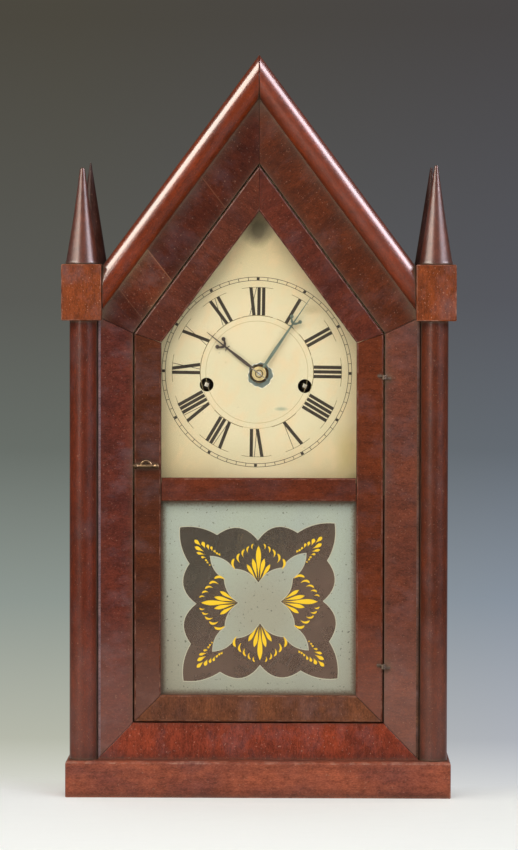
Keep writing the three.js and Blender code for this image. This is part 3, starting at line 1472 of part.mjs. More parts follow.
// Plates: skeletonised brass, with bars left where the pivots run
const bar = PLATE_RIM;
const plateOutline = [
  [-PLATE_FOOT_HALF, PLATE_BOTTOM],
  [PLATE_FOOT_HALF, PLATE_BOTTOM],
  [PLATE_FOOT_HALF, PLATE_SHOULDER],
  [PLATE_HEAD_HALF, PLATE_TOP],
  [-PLATE_HEAD_HALF, PLATE_TOP],
  [-PLATE_FOOT_HALF, PLATE_SHOULDER],
];
const plateWindows = [
  [
    [-PLATE_FOOT_HALF + bar, PLATE_BOTTOM + WINDOW_EDGE],
    [HAMMER_ARBOR.x - WINDOW_EDGE, PLATE_BOTTOM + WINDOW_EDGE],
    [HAMMER_ARBOR.x - WINDOW_EDGE, STRIKE_WINDING.z - bar],
    [-PLATE_FOOT_HALF + bar, STRIKE_WINDING.z - bar],
  ],
  [
    [bar, PLATE_BOTTOM + WINDOW_EDGE],
    [PLATE_FOOT_HALF - bar, PLATE_BOTTOM + WINDOW_EDGE],
    [PLATE_FOOT_HALF - bar, TIME_WINDING.z - bar],
    [bar, TIME_WINDING.z - bar],
  ],
  [
    [third.x + bar, TIME_WINDING.z + bar],
    [PLATE_HEAD_HALF - bar / 2, TIME_WINDING.z + bar],
    [PLATE_HEAD_HALF - bar, PLATE_TOP - bar],
    [third.x + bar, PLATE_TOP - bar],
  ],
];
const pillars = [-1, 1].flatMap((side) =>
  [pillarLow, pillarHigh].map(({ x, z }) => ({ x: side * x, z })),
);

function holeRing(places, radius) {
  return places.map(({ x, z }) => circle(x, z, radius, SMALL_SIDES));
}

const plateHoles = [
  ...plateWindows,
  ...holeRing([third, escape, pinArbor, flyArbor], PIVOT_RADIUS + CLEAR),
  ...holeRing([verge], ARBOR_RADIUS + CLEAR),
];
const minuteStud = rod(STUD_RADIUS, HOUR_WHEEL_FRONT - STUD_PROUD, FRONT_PLATE + PLATE_THICK / 2);
minuteStud.translate(minuteWheelPlace.x, 0, minuteWheelPlace.z);
piece(
  "front_plate",
  join(
    prism(plateOutline, FRONT_PLATE, frontPlateBack, [
      ...plateHoles,
      ...holeRing([centre], CENTRE_ARBOR_RADIUS + CLEAR),
      ...holeRing([HAMMER_ARBOR], PIVOT_RADIUS + CLEAR),
      ...holeRing([TIME_WINDING, STRIKE_WINDING], WINDING_ARBOR_RADIUS + CLEAR),
      ...holeRing(pillars, PILLAR_TENON + CLEAR),
    ]),
    minuteStud,
  ),
  "brass",
  movement,
);

const pillarRods = pillars.map(({ x, z }) => {
  const geometry = arborTurned([
    [0, FRONT_PLATE - PILLAR_TENON_PROUD],
    [PILLAR_TENON, FRONT_PLATE - PILLAR_TENON_PROUD],
    [PILLAR_TENON, frontPlateBack],
    [PILLAR_RADIUS, frontPlateBack],
    [PILLAR_RADIUS, BACK_PLATE + PLATE_THICK / 2],
    [0, BACK_PLATE + PLATE_THICK / 2],
  ]);
  geometry.translate(x, 0, z);
  return geometry;
});
const suspensionTop = verge.z + SUSPENSION_DROP;
const suspensionPost = rod(
  SUSPENSION_RADIUS,
  BACK_PLATE + PLATE_THICK / 2,
  PENDULUM_PLANE + SUSPENSION_WIDTH,
);
suspensionPost.translate(0, 0, suspensionTop + CLEAR + SUSPENSION_RADIUS);
piece(
  "back_plate",
  join(
    prism(plateOutline, BACK_PLATE, backPlateBack, [
      ...plateHoles,
      ...holeRing([centre], PIVOT_RADIUS + CLEAR),
      ...holeRing([HAMMER_ARBOR], ARBOR_RADIUS + CLEAR),
      ...holeRing([TIME_WINDING, STRIKE_WINDING], GREAT_PIVOT_RADIUS + CLEAR),
    ]),
    ...pillarRods,
    suspensionPost,
  ),
  "brass",
  movement,
);

// Verge: a bent strip with two pallets over the escape wheel, its arbor, and the crutch behind
const palletRing = ESCAPE_RADIUS + PALLET_CLEAR;
const nibTop = palletRing + PALLET_NIB_HEIGHT;
const escapeMiddle = ESCAPE_WHEEL_FRONT + WHEEL_THICK / 2;
const stripFront = escapeMiddle - VERGE_WIDTH / 2;
const stripBack = escapeMiddle + VERGE_WIDTH / 2;
const escapeDrop = escape.z - verge.z;
const vergePieces = [-1, 1].flatMap((side) => {
  const out = [side * Math.sin(palletHalf), Math.cos(palletHalf)];
  const across = [Math.cos(palletHalf), -side * Math.sin(palletHalf)];
  const place = (radius, offset) => [
    out[0] * radius + across[0] * offset,
    escapeDrop + out[1] * radius + across[1] * offset,
  ];
  const nibHalf = PALLET_NIB / 2;
  const nib = [
    place(palletRing, -nibHalf),
    place(palletRing, nibHalf),
    place(nibTop, nibHalf),
    place(nibTop, -nibHalf),
  ];
  const end = new THREE.Vector2(...place(nibTop - VERGE_STRIP / 2, 0));
  const along = end.clone().normalize();
  const aside = new THREE.Vector2(-along.y, along.x).multiplyScalar(VERGE_STRIP / 2);
  const arm = [
    [aside.x, aside.y],
    [-aside.x, -aside.y],
    [end.x - aside.x, end.y - aside.y],
    [end.x + aside.x, end.y + aside.y],
  ];
  return [prism(nib, stripFront, stripBack), prism(arm, stripFront, stripBack)];
});
const crutchMiddle = CRUTCH_FRONT + CRUTCH_RADIUS;
const crutchWire = turned(
  [
    [0, -CRUTCH_LENGTH],
    [CRUTCH_RADIUS, -CRUTCH_LENGTH],
    [CRUTCH_RADIUS, 0],
    [0, 0],
  ],
  SMALL_SIDES,
);
crutchWire.translate(0, crutchMiddle, 0);
const forkInner = ROD_RADIUS + CLEAR;
const forkOuter = forkInner + CRUTCH_RADIUS;
const forkTop = -CRUTCH_LENGTH + CRUTCH_RADIUS;
const forkBottom = -CRUTCH_LENGTH - CRUTCH_RADIUS;
const forkBack = PENDULUM_PLANE + forkOuter;
const vergeShaft = arborTurned([
  [0, FRONT_PLATE - PIVOT_PROUD],
  [ARBOR_RADIUS, FRONT_PLATE - PIVOT_PROUD],
  [ARBOR_RADIUS, crutchMiddle + CRUTCH_RADIUS],
  [0, crutchMiddle + CRUTCH_RADIUS],
]);
const vergeMesh = piece(
  "verge",
  join(
    vergeShaft,
    rod(VERGE_HUB, stripFront, stripBack),
    ...vergePieces,
    crutchWire,
    box(-forkOuter, forkOuter, CRUTCH_FRONT, crutchMiddle + CRUTCH_RADIUS, forkBottom, forkTop),
    box(forkInner, forkOuter, CRUTCH_FRONT, forkBack, forkBottom, forkTop),
    box(-forkOuter, -forkInner, CRUTCH_FRONT, forkBack, forkBottom, forkTop),
  ),
  "steel",
  movement,
);
vergeMesh.position.set(verge.x, 0, verge.z);

// Pendulum: suspension spring, wire rod, rating nut and bob
const bobDrop = -BOB_DROP;
const nutTop = bobDrop - BOB_RADIUS - CLEAR;
const nutBottom = nutTop - RATING_NUT_HEIGHT;
const springHalf = SUSPENSION_WIDTH / 2;
const rodTurned = turned(
  [
    [0, nutBottom - ROD_BELOW_BOB],
    [ROD_RADIUS, nutBottom - ROD_BELOW_BOB],
    [ROD_RADIUS, nutBottom],
    [RATING_NUT_RADIUS, nutBottom],
    [RATING_NUT_RADIUS, nutTop],
    [ROD_RADIUS, nutTop],
    [ROD_RADIUS, -SUSPENSION_DROP],
    [0, -SUSPENSION_DROP],
  ],
  SMALL_SIDES,
);
rodTurned.translate(0, PENDULUM_PLANE, 0);
const pendulum = new THREE.Group();
pendulum.position.set(0, 0, verge.z);
movement.add(pendulum);
piece(
  "pendulum_rod",
  join(
    rodTurned,
    box(
      -SUSPENSION_THICK / 2,
      SUSPENSION_THICK / 2,
      PENDULUM_PLANE - springHalf,
      PENDULUM_PLANE + springHalf,
      -SUSPENSION_DROP * 2,
      SUSPENSION_DROP,
    ),
  ),
  "steel",
  pendulum,
);
const bobHalf = BOB_THICK / 2;
const bobProfile = Array.from({ length: BOB_STEPS + 1 }, (_, i) => {
  const angle = (i * Math.PI) / BOB_STEPS;
  return [BOB_RADIUS * Math.sin(angle), -bobHalf * Math.cos(angle)];
});
bobProfile[0][0] = 0;
bobProfile[BOB_STEPS][0] = 0;
const bob = arborTurned(bobProfile, ROUND_SIDES);
const bobBore = turned(
  [
    [0, -BOB_RADIUS - CUT],
    [ROD_RADIUS + CLEAR, -BOB_RADIUS - CUT],
    [ROD_RADIUS + CLEAR, BOB_RADIUS + CUT],
    [0, BOB_RADIUS + CUT],
  ],
  SMALL_SIDES,
);
const bobMesh = piece("pendulum_bob", cut(bob, bobBore), "brass", pendulum);
bobMesh.position.set(0, PENDULUM_PLANE, bobDrop);

// Back board, with the two blocks that carry the movement
const seatZ = DIAL_HEIGHT + PLATE_BOTTOM;
const seats = [-1, 1].map((side) => {
  const outer = side * PLATE_FOOT_HALF;
  const inner = side * (PLATE_FOOT_HALF - SEAT_WIDTH);
  return box(
    Math.min(outer, inner),
    Math.max(outer, inner),
    backPlateBack,
    backFront + CUT,
    seatZ,
    seatZ + SEAT_HEIGHT,
  );
});
const backOutline = Object.values(gable(sideInner - CLEAR, PLINTH_HEIGHT, roofLow));
piece(
  "back_board",
  join(prism(backOutline, backFront, BACK_FACE), ...seats),
  "plain_wood",
);

// Gong: a coil of wire round the post of its cast-iron foot
const gong = new THREE.Group();
gong.position.set(GONG_OFFSET, 0, GONG_HEIGHT);
clock.add(gong);
piece(
  "gong_base",
  arborTurned(
    [
      [0, GONG_PLANE - GONG_POST_RADIUS],
      [GONG_POST_RADIUS, GONG_PLANE - GONG_POST_RADIUS],
      [GONG_POST_RADIUS, backFront - GONG_FOOT_THICK],
      [GONG_FOOT_RADIUS, backFront - GONG_FOOT_THICK],
      [GONG_FOOT_RADIUS, backFront],
      [0, backFront],
    ],
    ROUND_SIDES,
  ),
  "cast_iron",
  gong,
);
const gongInner = GONG_POST_RADIUS + CLEAR + GONG_WIRE;
const gongSteps = GONG_TURNS * GONG_STEPS_A_TURN;
const wireSection = circle(0, 0, GONG_WIRE, GONG_WIRE_SIDES);
const gongRings = Array.from({ length: gongSteps + 1 }, (_, i) => {
  const along = i / gongSteps;
  const angle = along * GONG_TURNS * 2 * Math.PI;
  const radius = gongInner + along * (GONG_OUTER - gongInner);
  return wireSection.map(([u, v]) => [
    (radius + u) * Math.cos(angle),
    GONG_PLANE + v,
    (radius + u) * Math.sin(angle),
  ]);
});
const gongPitch = (GONG_OUTER - gongInner) / GONG_TURNS;
console.log(`gong: least gap between turns ${(gongPitch - 2 * GONG_WIRE).toFixed(2)} mm`);
piece("gong_coil", lofted(gongRings, wireSection), "steel", gong);

export default clock;
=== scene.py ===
# Looks of a steeple clock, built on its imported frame. Metres, +Z up, the front faces -Y.
import math

import bmesh
import bpy
from mathutils import Matrix, Vector


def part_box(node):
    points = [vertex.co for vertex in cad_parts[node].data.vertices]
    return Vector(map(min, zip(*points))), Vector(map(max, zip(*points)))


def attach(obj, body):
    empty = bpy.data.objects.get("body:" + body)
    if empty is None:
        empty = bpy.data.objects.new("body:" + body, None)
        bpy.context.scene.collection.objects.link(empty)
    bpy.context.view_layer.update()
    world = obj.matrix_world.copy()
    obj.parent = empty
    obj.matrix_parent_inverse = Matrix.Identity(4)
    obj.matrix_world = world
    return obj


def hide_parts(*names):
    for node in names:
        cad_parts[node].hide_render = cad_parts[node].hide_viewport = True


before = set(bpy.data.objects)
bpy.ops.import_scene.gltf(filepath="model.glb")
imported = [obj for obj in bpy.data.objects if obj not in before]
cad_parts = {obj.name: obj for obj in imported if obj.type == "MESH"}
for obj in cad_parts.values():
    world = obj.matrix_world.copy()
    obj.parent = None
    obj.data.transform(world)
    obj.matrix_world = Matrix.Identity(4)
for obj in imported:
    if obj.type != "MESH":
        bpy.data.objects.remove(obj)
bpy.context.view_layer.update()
MM = 0.001

# Plinth: a front board and two returns of shellacked mahogany veneer on softwood, sawn square,
# glued at the corners and worn pale along the top front edge. The bottom board is plain wood.
PLINTH_TONE = (127, 67, 49)
BOTTOM_TONE = (120, 92, 66)


def level(*shades):
    """A colour from its three screen levels, 0 to 255."""
    shares = [s / 255 for s in shades]
    return tuple(s / 12.92 if s < 11 / 255 else ((s + 0.055) / 1.055) ** 2.4 for s in shares) + (1,)


def toned(colour, *shares):
    """A colour made lighter or darker, by one share or by one each for red, green and blue."""
    return tuple(min(1, c * s) for c, s in zip(colour[:3], shares * 3)) + (1,)


def put(tree, kind, sockets=None, **settings):
    """A node with its settings, its sockets linked or set."""
    node = tree.nodes.new("ShaderNode" + kind)
    for name, value in settings.items():
        setattr(node, name, value)
    for name, value in (sockets or {}).items():
        if isinstance(value, bpy.types.NodeSocket):
            tree.links.new(value, node.inputs[name])
        else:
            node.inputs[name].default_value = value
    return node


def blended(tree, share, one, other, how="MIX"):
    """The colour between one and other."""
    node = put(tree, "Mix", {0: share, 6: one, 7: other}, data_type="RGBA", blend_type=how)
    return node.outputs[2]


def reckon(tree, operation, one, other=0.0):
    return put(tree, "Math", {0: one, 1: other}, operation=operation).outputs[0]


def between(tree, value, low, high, to_low=0.0, to_high=1.0):
    """The value brought from low..high to to_low..to_high, and held there."""
    sockets = {"Value": value, "From Min": low, "From Max": high, "To Min": to_low, "To Max": to_high}
    return put(tree, "MapRange", sockets).outputs[0]


def tinted(tree, value, low, high, share, colour, tone):
    """The colour, taken up to this share of the way to a tone as the value goes from low to high."""
    return blended(tree, between(tree, value, low, high, 0.0, share), colour, level(*tone))


def new_material(name):
    material = bpy.data.materials.new(name)
    material.use_nodes = True
    tree = material.node_tree
    return material, tree, tree.nodes["Principled BSDF"]


def join_up(tree, shader, **sockets):
    for name, value in sockets.items():
        socket = shader.inputs[name.replace("_", " ")]
        if isinstance(value, bpy.types.NodeSocket):
            tree.links.new(value, socket)
        else:
            socket.default_value = value


def noise(tree, place, size, turn=(0, 0, 0), seed=0.0, detail=3.0, rough=0.55):
    """Noise whose features have this size in metres along each axis of the grain."""
    mapping = put(
        tree,
        "Mapping",
        {"Vector": place, "Location": (seed, seed / 2, seed / 3), "Rotation": turn, "Scale": size},
        vector_type="TEXTURE",
    )
    sockets = {"Vector": mapping.outputs[0], "Scale": 1.0, "Detail": detail, "Roughness": rough}
    return put(tree, "TexNoise", sockets).outputs["Fac"]


# What age gives to every veneered piece, and how far it reaches. The darkening in corners is dirt together
# with painted shade, and the paleness low down is dust together with painted light from the table below.
CORNER_DIRT_AND_SHADE = (46, 36, 32)
CORNER_REACH = 11 * MM
NOOK_DUST = (112, 90, 72)
NOOK_REACH = 3 * MM
HAZE_DUST = (120, 100, 104)
# Paler low down: settled dust together with painted light from the table below
LOW_DUST_AND_LIGHT = (164, 124, 112)
LOW_DUST_AND_LIGHT_TOP, LOW_DUST_AND_LIGHT_FULL = 0.13, 0.07
PALE_SPECK = (190, 150, 126)
RUBBED = (176, 132, 112)
PORE_DEPTH = 0.12 * MM


def wood(
    name,
    tone,
    lie=0.0,
    seed=0.0,
    streak=0.5,
    haze=0.1,
    flecks=0.5,
    grime_and_shade=0.8,
    gloss=0.32,
    coat=0.15,
    rub=0.0,
    soft=0.15,
    low_dust_and_light=0.0,
    dirt_and_shade_tone=CORNER_DIRT_AND_SHADE,
):
    """Old shellacked veneer, its grain turned by lie degrees from level. It is streaked, mottled and
    specked, dusty where haze is high, darker in its corners with dirt and painted shade, with paler dust in
    the tightest ones, paler where rub says that it was worn, and paler low down with dust and painted light
    from the table below. The softer its polish, the less it mirrors."""
    material, tree, shader = new_material(name)
    place = put(tree, "TexCoord").outputs["Object"]
    height = put(tree, "SeparateXYZ", {"Vector": place}).outputs["Z"]
    turn = (0, math.radians(lie), 0)
    streaks = noise(tree, place, (0.03, 0.0014, 0.0014), turn, seed, 4.0, 0.6)
    figure = noise(tree, place, (0.035, 0.016, 0.016), turn, seed + 3, 5.0, 0.62)
    mottle = noise(tree, place, (0.007, 0.004, 0.004), turn, seed + 4, 3.0, 0.6)
    grains = noise(tree, place, (0.0016, 0.0008, 0.0008), turn, seed + 5, 3.0, 0.7)
    specks = noise(tree, place, (0.0014, 0.0014, 0.0014), turn, seed + 7, 2.0, 0.7)
    clouds = noise(tree, place, (0.03, 0.02, 0.02), turn, seed + 9, 5.0, 0.65)
    wear = noise(tree, place, (0.006, 0.006, 0.006), turn, seed + 11, 4.0, 0.7)
    corner = put(tree, "AmbientOcclusion", {"Distance": CORNER_REACH}, samples=6).outputs["AO"]
    nook = put(tree, "AmbientOcclusion", {"Distance": NOOK_REACH}, samples=6).outputs["AO"]

    dark = toned(level(*tone), 0.76, 0.79, 0.92)
    light = toned(level(*tone), 1.22, 1.17, 1.04)
    colour = blended(tree, between(tree, figure, 0.34, 0.66), dark, light)
    lines = between(tree, streaks, 0.35, 0.65, -0.2 * streak, 0.2 * streak)
    pores = between(tree, grains, 0.3, 0.7, -0.34, 0.34)
    dots = reckon(tree, "ADD", pores, between(tree, mottle, 0.32, 0.68, -0.2, 0.2))
    gain = reckon(tree, "ADD", reckon(tree, "ADD", lines, dots), 1.0)
    grey = put(tree, "CombineColor", {0: gain, 1: gain, 2: gain}).outputs[0]
    colour = blended(tree, 1.0, colour, grey, "MULTIPLY")
    colour = tinted(tree, clouds, 0.5, 0.74, haze, colour, HAZE_DUST)
    colour = tinted(tree, height, LOW_DUST_AND_LIGHT_TOP, LOW_DUST_AND_LIGHT_FULL, low_dust_and_light, colour, LOW_DUST_AND_LIGHT)
    pale = between(tree, specks, 0.64, 0.74, 0.0, 0.5 * flecks)
    colour = blended(tree, pale, colour, level(*PALE_SPECK))
    # Corners found by occlusion are darkened with dirt and painted shade; the tightest nooks go pale with
    # dust
    patches = between(tree, clouds, 0.3, 0.6, 0.5 * grime_and_shade, grime_and_shade)
    dirt_and_shade = reckon(tree, "MULTIPLY", between(tree, corner, 0.92, 0.4), patches)
    colour = blended(tree, dirt_and_shade, colour, level(*dirt_and_shade_tone))
    colour = tinted(tree, nook, 0.85, 0.6, 0.7 * min(grime_and_shade, 1), colour, NOOK_DUST)
    colour = tinted(tree, wear, 0.46, 0.7, rub, colour, RUBBED)

    dull = reckon(tree, "MULTIPLY", pale, 0.4)
    rough = reckon(tree, "ADD", between(tree, clouds, 0.3, 0.7, gloss, gloss + 0.2), dull)
    relief = reckon(tree, "ADD", streaks, grains)
    bump = put(tree, "Bump", {"Height": relief, "Strength": 0.2, "Distance": PORE_DEPTH})
    join_up(tree, shader, Base_Color=colour, Roughness=rough, Normal=bump.outputs[0])
    join_up(tree, shader, Coat_Weight=coat, Coat_Roughness=soft, Specular_IOR_Level=0.08)
    return material


def worn(name, tone, lie=0.0, seed=0.0, rub=0.4):
    """The same veneer on an arris that hands and dusters have rubbed."""
    return wood(name, tone, lie, seed, haze=0.2, grime_and_shade=0.0, rub=rub)


# The bends, in degrees, that stay sharp, that count as flat and that are corners to be rounded,
# and how near corners are merged
SHARP_BEND = 32
FLAT_BEND = 1
CORNER_BEND = 35
WELD = 0.01 * MM
ALONG_SHARE = 0.99


def finished(name, bm, body, slot, *materials):
    """Makes a piece of a built mesh and sets it on its body."""
    mesh = bpy.data.meshes.new(name)
    bm.to_mesh(mesh)
    bm.free()
    for material in materials:
        mesh.materials.append(material)
    mesh.shade_smooth()
    mesh.set_sharp_from_angle(angle=math.radians(SHARP_BEND))
    piece = bpy.data.objects.new(name, mesh)
    bpy.context.scene.collection.objects.link(piece)
    piece.modifiers.new("weighted", "WEIGHTED_NORMAL").keep_sharp = True
    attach(piece, body)
    return piece


def dressed(node, body, slot, *materials, arris=0.5, steps=2, suffix="veneer", along=None, beyond=0.0):
    """A copy of a node's mesh with its corners merged and its arrises rounded, standing for the node.
    Where along is given, only the arrises that run that way are rounded, and the joints stay tight;
    of these, only the ones that lie beyond this distance from the clock's middle."""
    bm = bmesh.new()
    bm.from_mesh(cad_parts[node].data)
    bmesh.ops.remove_doubles(bm, verts=bm.verts, dist=WELD)
    bmesh.ops.dissolve_limit(bm, angle_limit=math.radians(FLAT_BEND), verts=bm.verts, edges=bm.edges)
    sharp = [e for e in bm.edges if e.is_manifold and e.calc_face_angle() > math.radians(CORNER_BEND)]
    if along is not None:
        way = Vector(along).normalized()
        runs = [(e, (e.verts[1].co - e.verts[0].co).normalized()) for e in sharp]
        sharp = [e for e, run in runs if abs(run.dot(way)) > ALONG_SHARE]
        sharp = [e for e in sharp if abs(e.verts[0].co.x) > beyond * MM]
    bmesh.ops.bevel(
        bm,
        geom=sharp,
        offset=arris * MM,
        segments=steps,
        profile=0.5,
        affect="EDGES",
        clamp_overlap=True,
        material=len(materials) - 1,
    )
    piece = finished(f"{node}_{suffix}", bm, body, slot, *materials)
    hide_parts(node)


plinth_wood = wood("plinth veneer", PLINTH_TONE, 0, 1.0, haze=0.05)
plinth_worn = worn("plinth worn edge", PLINTH_TONE, 0, 1.0, 0.6)
for node in ("plinth_front", "plinth_left", "plinth_right"):
    dressed(node, "case", "case_wood", plinth_wood, plinth_worn, arris=0.7)
bottom_wood = wood("bottom board wood", BOTTOM_TONE, 0, 2.0, coat=0.0, gloss=0.6)
dressed("bottom_board", "case", "inner_wood", bottom_wood, suffix="board")

# Case: two veneered sides, two roof boards and a rough pine back board, nailed and glued into a
# box that the movement hangs in. The sides and roof are stained and shellacked like the front.
SIDE_TONE = (92, 50, 38)
BACK_TONE = (118, 88, 62)
ROOF_RUN = 0.1105
ROOF_RISE = 0.1486
slope = math.degrees(math.atan2(ROOF_RISE, ROOF_RUN))
side_wood = wood("side veneer", SIDE_TONE, 90, 11.0)
side_worn = worn("side worn edge", SIDE_TONE, 90, 11.0)
for side, lie in (("left", -slope), ("right", slope)):
    dressed(f"{side}_side", "case", "case_wood", side_wood, side_worn)
    roof_wood = wood(f"{side} roof veneer", SIDE_TONE, lie, 17.0)
    dressed(f"{side}_roof", "case", "case_wood", roof_wood, side_worn)
back_wood = wood("back board pine", BACK_TONE, 90, 14.0, streak=0.6, haze=0.4, coat=0.0, gloss=0.6)
dressed("back_board", "case", "inner_wood", back_wood, suffix="board")

# Front frame: five mitred boards whose faces lean in towards the door, veneered with the grain
# across each board. Dust lies along the mouldings, and low down the boards are paler with dust and
# painted light from the table below; the stiles' outer arrises are worn round and pale, with a painted
# sheen.
UPWARD = (0, 0, 1)
UP_RIGHT = (ROOF_RUN, 0, ROOF_RISE)
UP_LEFT = (-ROOF_RUN, 0, ROOF_RISE)
RAIL_TONE = (118, 48, 28)
FRAME_PIECES = (
    ("frame_left_stile", (86, 37, 26), 0, 0.3, UPWARD),
    ("frame_right_stile", (92, 45, 29), 0, 0.18, UPWARD),
    # The left rake's tone is made darker than its veneer, as painted shade
    ("frame_left_rake", (68, 27, 15), 90 - slope, 0.16, UP_RIGHT),
    ("frame_right_rake", (78, 33, 13), 90 + slope, 0.15, UP_LEFT),
)
FRAME_DUST = (112, 92, 76)
# Pale tones for the stiles' rounded outer arrises: dust together with a painted sheen
EDGE_DUST_AND_SHEEN = {"frame_left_stile": (114, 90, 92), "frame_right_stile": (88, 60, 46)}
EDGE_BEYOND = 109.0
EDGE_ROUND = 2.2

rail_wood = wood("foot rail veneer", RAIL_TONE, 90, 21.0, streak=0.9, haze=0.2, flecks=0.9)
rail_worn = worn("foot rail edge", RAIL_TONE, 90, 21.0)
dressed("frame_bottom_rail", "case", "case_wood", rail_wood, rail_worn, arris=0.35)
for node, tone, lie, haze, along in FRAME_PIECES:
    label = node.replace("_", " ")
    age = {"haze": haze, "grime_and_shade": 1.0, "low_dust_and_light": 0.22, "dirt_and_shade_tone": FRAME_DUST}
    veneers = [wood(f"{label} veneer", tone, lie, 23.0 + lie / 30, **age)]
    rounding = {"arris": 0.25, "along": along}
    if node in EDGE_DUST_AND_SHEEN:
        veneers.append(wood(f"{label} edge", EDGE_DUST_AND_SHEEN[node], lie, 24.0, haze=0.5, grime_and_shade=0.2))
        rounding.update(arris=EDGE_ROUND, steps=4, beyond=EDGE_BEYOND)
    dressed(node, "case", "case_wood", *veneers, **rounding)

# The left rake is veneered in lengths, with a paler one between two thin pale joints and one more
# joint above it. Distances run along the rake, and each joint has its strength.
PATCH_WAY = (0.79, 0, 0.61)
PATCH_FROM, PATCH_TO = 136.7, 168.5
PATCH_FADE = (-2.0, 12.0)
PATCH_JOINTS = ((PATCH_FROM, 0.1), (PATCH_TO, 0.3), (228.0, 0.14))
PATCH_LIGHTER = (1.7, 1.85, 1.6, 1)
JOINT_TONE = (170, 116, 84)
JOINT_EDGE, JOINT_CORE = 0.5, 0.2
tree = bpy.data.materials["frame left rake veneer"].node_tree
shader = tree.nodes["Principled BSDF"]
colour = shader.inputs["Base Color"].links[0].from_socket
place = put(tree, "TexCoord").outputs["Object"]
run = put(tree, "VectorMath", {0: place, 1: PATCH_WAY}, operation="DOT_PRODUCT").outputs["Value"]
entered = between(tree, run, (PATCH_FROM + PATCH_FADE[0]) * MM, (PATCH_FROM + PATCH_FADE[1]) * MM)
left = between(tree, run, (PATCH_TO + 0.3) * MM, (PATCH_TO - 0.3) * MM)
lighter = blended(tree, 1.0, colour, PATCH_LIGHTER, "MULTIPLY")
colour = blended(tree, reckon(tree, "MULTIPLY", entered, left), colour, lighter)
for joint, strength in PATCH_JOINTS:
    apart = reckon(tree, "ABSOLUTE", reckon(tree, "SUBTRACT", run, joint * MM))
    colour = tinted(tree, apart, JOINT_EDGE * MM, JOINT_CORE * MM, strength, colour, JOINT_TONE)
join_up(tree, shader, Base_Color=colour)

# Rake mouldings: half-round mahogany strips glued over the frame's outer edge and mitred at the
# ridge, polished by handling so that each shows a long highlight.
MOULDING_TONE = (106, 38, 6)
for side, lie, soft in (("left", -slope, 0.22), ("right", slope, 0.33)):
    polish = {"haze": 0.1, "flecks": 0.3, "gloss": 0.26, "coat": 1.0, "soft": soft}
    veneer = wood(f"{side} moulding veneer", MOULDING_TONE, lie, 31.0, **polish)
    dressed(f"{side}_rake_moulding", "case", "case_wood", veneer, arris=0.45)

# Columns, blocks and steeples: turned columns of veneered softwood stand on the plinth under
# square blocks, and a turned cone stands on each block. All are glued and doweled.
COLUMN_TONE = {"left": (88, 31, 9), "right": (84, 34, 13)}
BLOCK_TONE = (110, 51, 21)
STEEPLE_TONE = (88, 44, 32)
REAR_SHADED_TONE = (60, 34, 27)
COLUMN_ARRIS = 0.3
WORN_TIP = {"left": 1.8, "right": 1.2}
TURNED_STEPS = 64
TURNED_WELD = 0.002 * MM


def spun(outline, middle, axis=(0, 0, 1)):
    """A turned solid from (radius, height) points in millimetres, the height along the axis."""
    bm = bmesh.new()
    along = Vector(axis)
    across = along.orthogonal().normalized()
    corners = [bm.verts.new(Vector(middle) + across * r * MM + along * h * MM) for r, h in outline]
    edges = [bm.edges.new(pair) for pair in zip(corners, corners[1:])]
    bmesh.ops.spin(
        bm,
        geom=corners + edges,
        cent=middle,
        axis=along,
        angle=2 * math.pi,
        steps=TURNED_STEPS,
        use_merge=True,
    )
    bmesh.ops.remove_doubles(bm, verts=bm.verts, dist=TURNED_WELD)
    bmesh.ops.recalc_face_normals(bm, faces=bm.faces)
    return bm


def standing(low, high):
    """The foot's middle, the radius and the height of an upright turned node, from its box."""
    foot = ((low[0] + high[0]) / 2, (low[1] + high[1]) / 2, low[2])
    return foot, (high[0] - low[0]) / 2 / MM, (high[2] - low[2]) / MM


for side in ("left", "right"):
    # The columns are paler low down with dust and painted light from the table below
    polish = {"haze": 0.15, "gloss": 0.28, "coat": 0.4, "soft": 0.32, "low_dust_and_light": 0.12}
    veneer = wood(f"{side} column veneer", COLUMN_TONE[side], 90, 41.0, **polish)
    foot, radius, height = standing(*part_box(f"front_{side}_column"))
    outline = [
        (0, 0),
        (radius - COLUMN_ARRIS, 0),
        (radius, COLUMN_ARRIS),
        (radius, height - COLUMN_ARRIS),
        (radius - COLUMN_ARRIS, height),
        (0, height),
    ]
    column = finished(f"{side}_column_veneer", spun(outline, foot), "case", "case_wood", veneer)
    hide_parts(f"front_{side}_column")

    block_wood = wood(f"{side} block veneer", BLOCK_TONE, 90, 43.0, haze=0.3, flecks=1.2, gloss=0.4)
    block_worn = worn(f"{side} block edge", BLOCK_TONE, rub=0.5)
    dressed(f"front_{side}_block", "case", "block_wood", block_wood, block_worn, arris=0.8)

    polish = {"haze": 0.2, "gloss": 0.3, "coat": 1.0, "soft": 0.3}
    veneer = wood(f"{side} steeple veneer", STEEPLE_TONE, 90, 45.0, **polish)
    foot, radius, height = standing(*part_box(f"front_{side}_steeple"))
    tip = WORN_TIP[side]
    outline = [
        (0, 0),
        (radius - 0.4, 0),
        (radius, 0.5),
        (radius, 1.6),
        (radius - 0.5, 2.4),
        (radius * 0.52, height * 0.5),
        (tip, height - tip),
        (tip * 0.8, height - tip * 0.4),
        (tip * 0.4, height - tip * 0.1),
        (0, height),
    ]
    steeple = finished(f"{side}_steeple_turning", spun(outline, foot), "case", "case_wood", veneer)
    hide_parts(f"front_{side}_steeple")

# The rear turrets are darker than the front steeples: painted shade, as they stand back out of the light
rear_shaded_wood = wood("turret wood in painted shade", REAR_SHADED_TONE, 90, 47.0, haze=0.15)
rear_shaded_worn = worn("turret edge in painted shade", REAR_SHADED_TONE, 90)
for side in ("left", "right"):
    dressed(f"rear_{side}_turret", "case", "case_wood", rear_shaded_wood, rear_shaded_worn, arris=0.4)

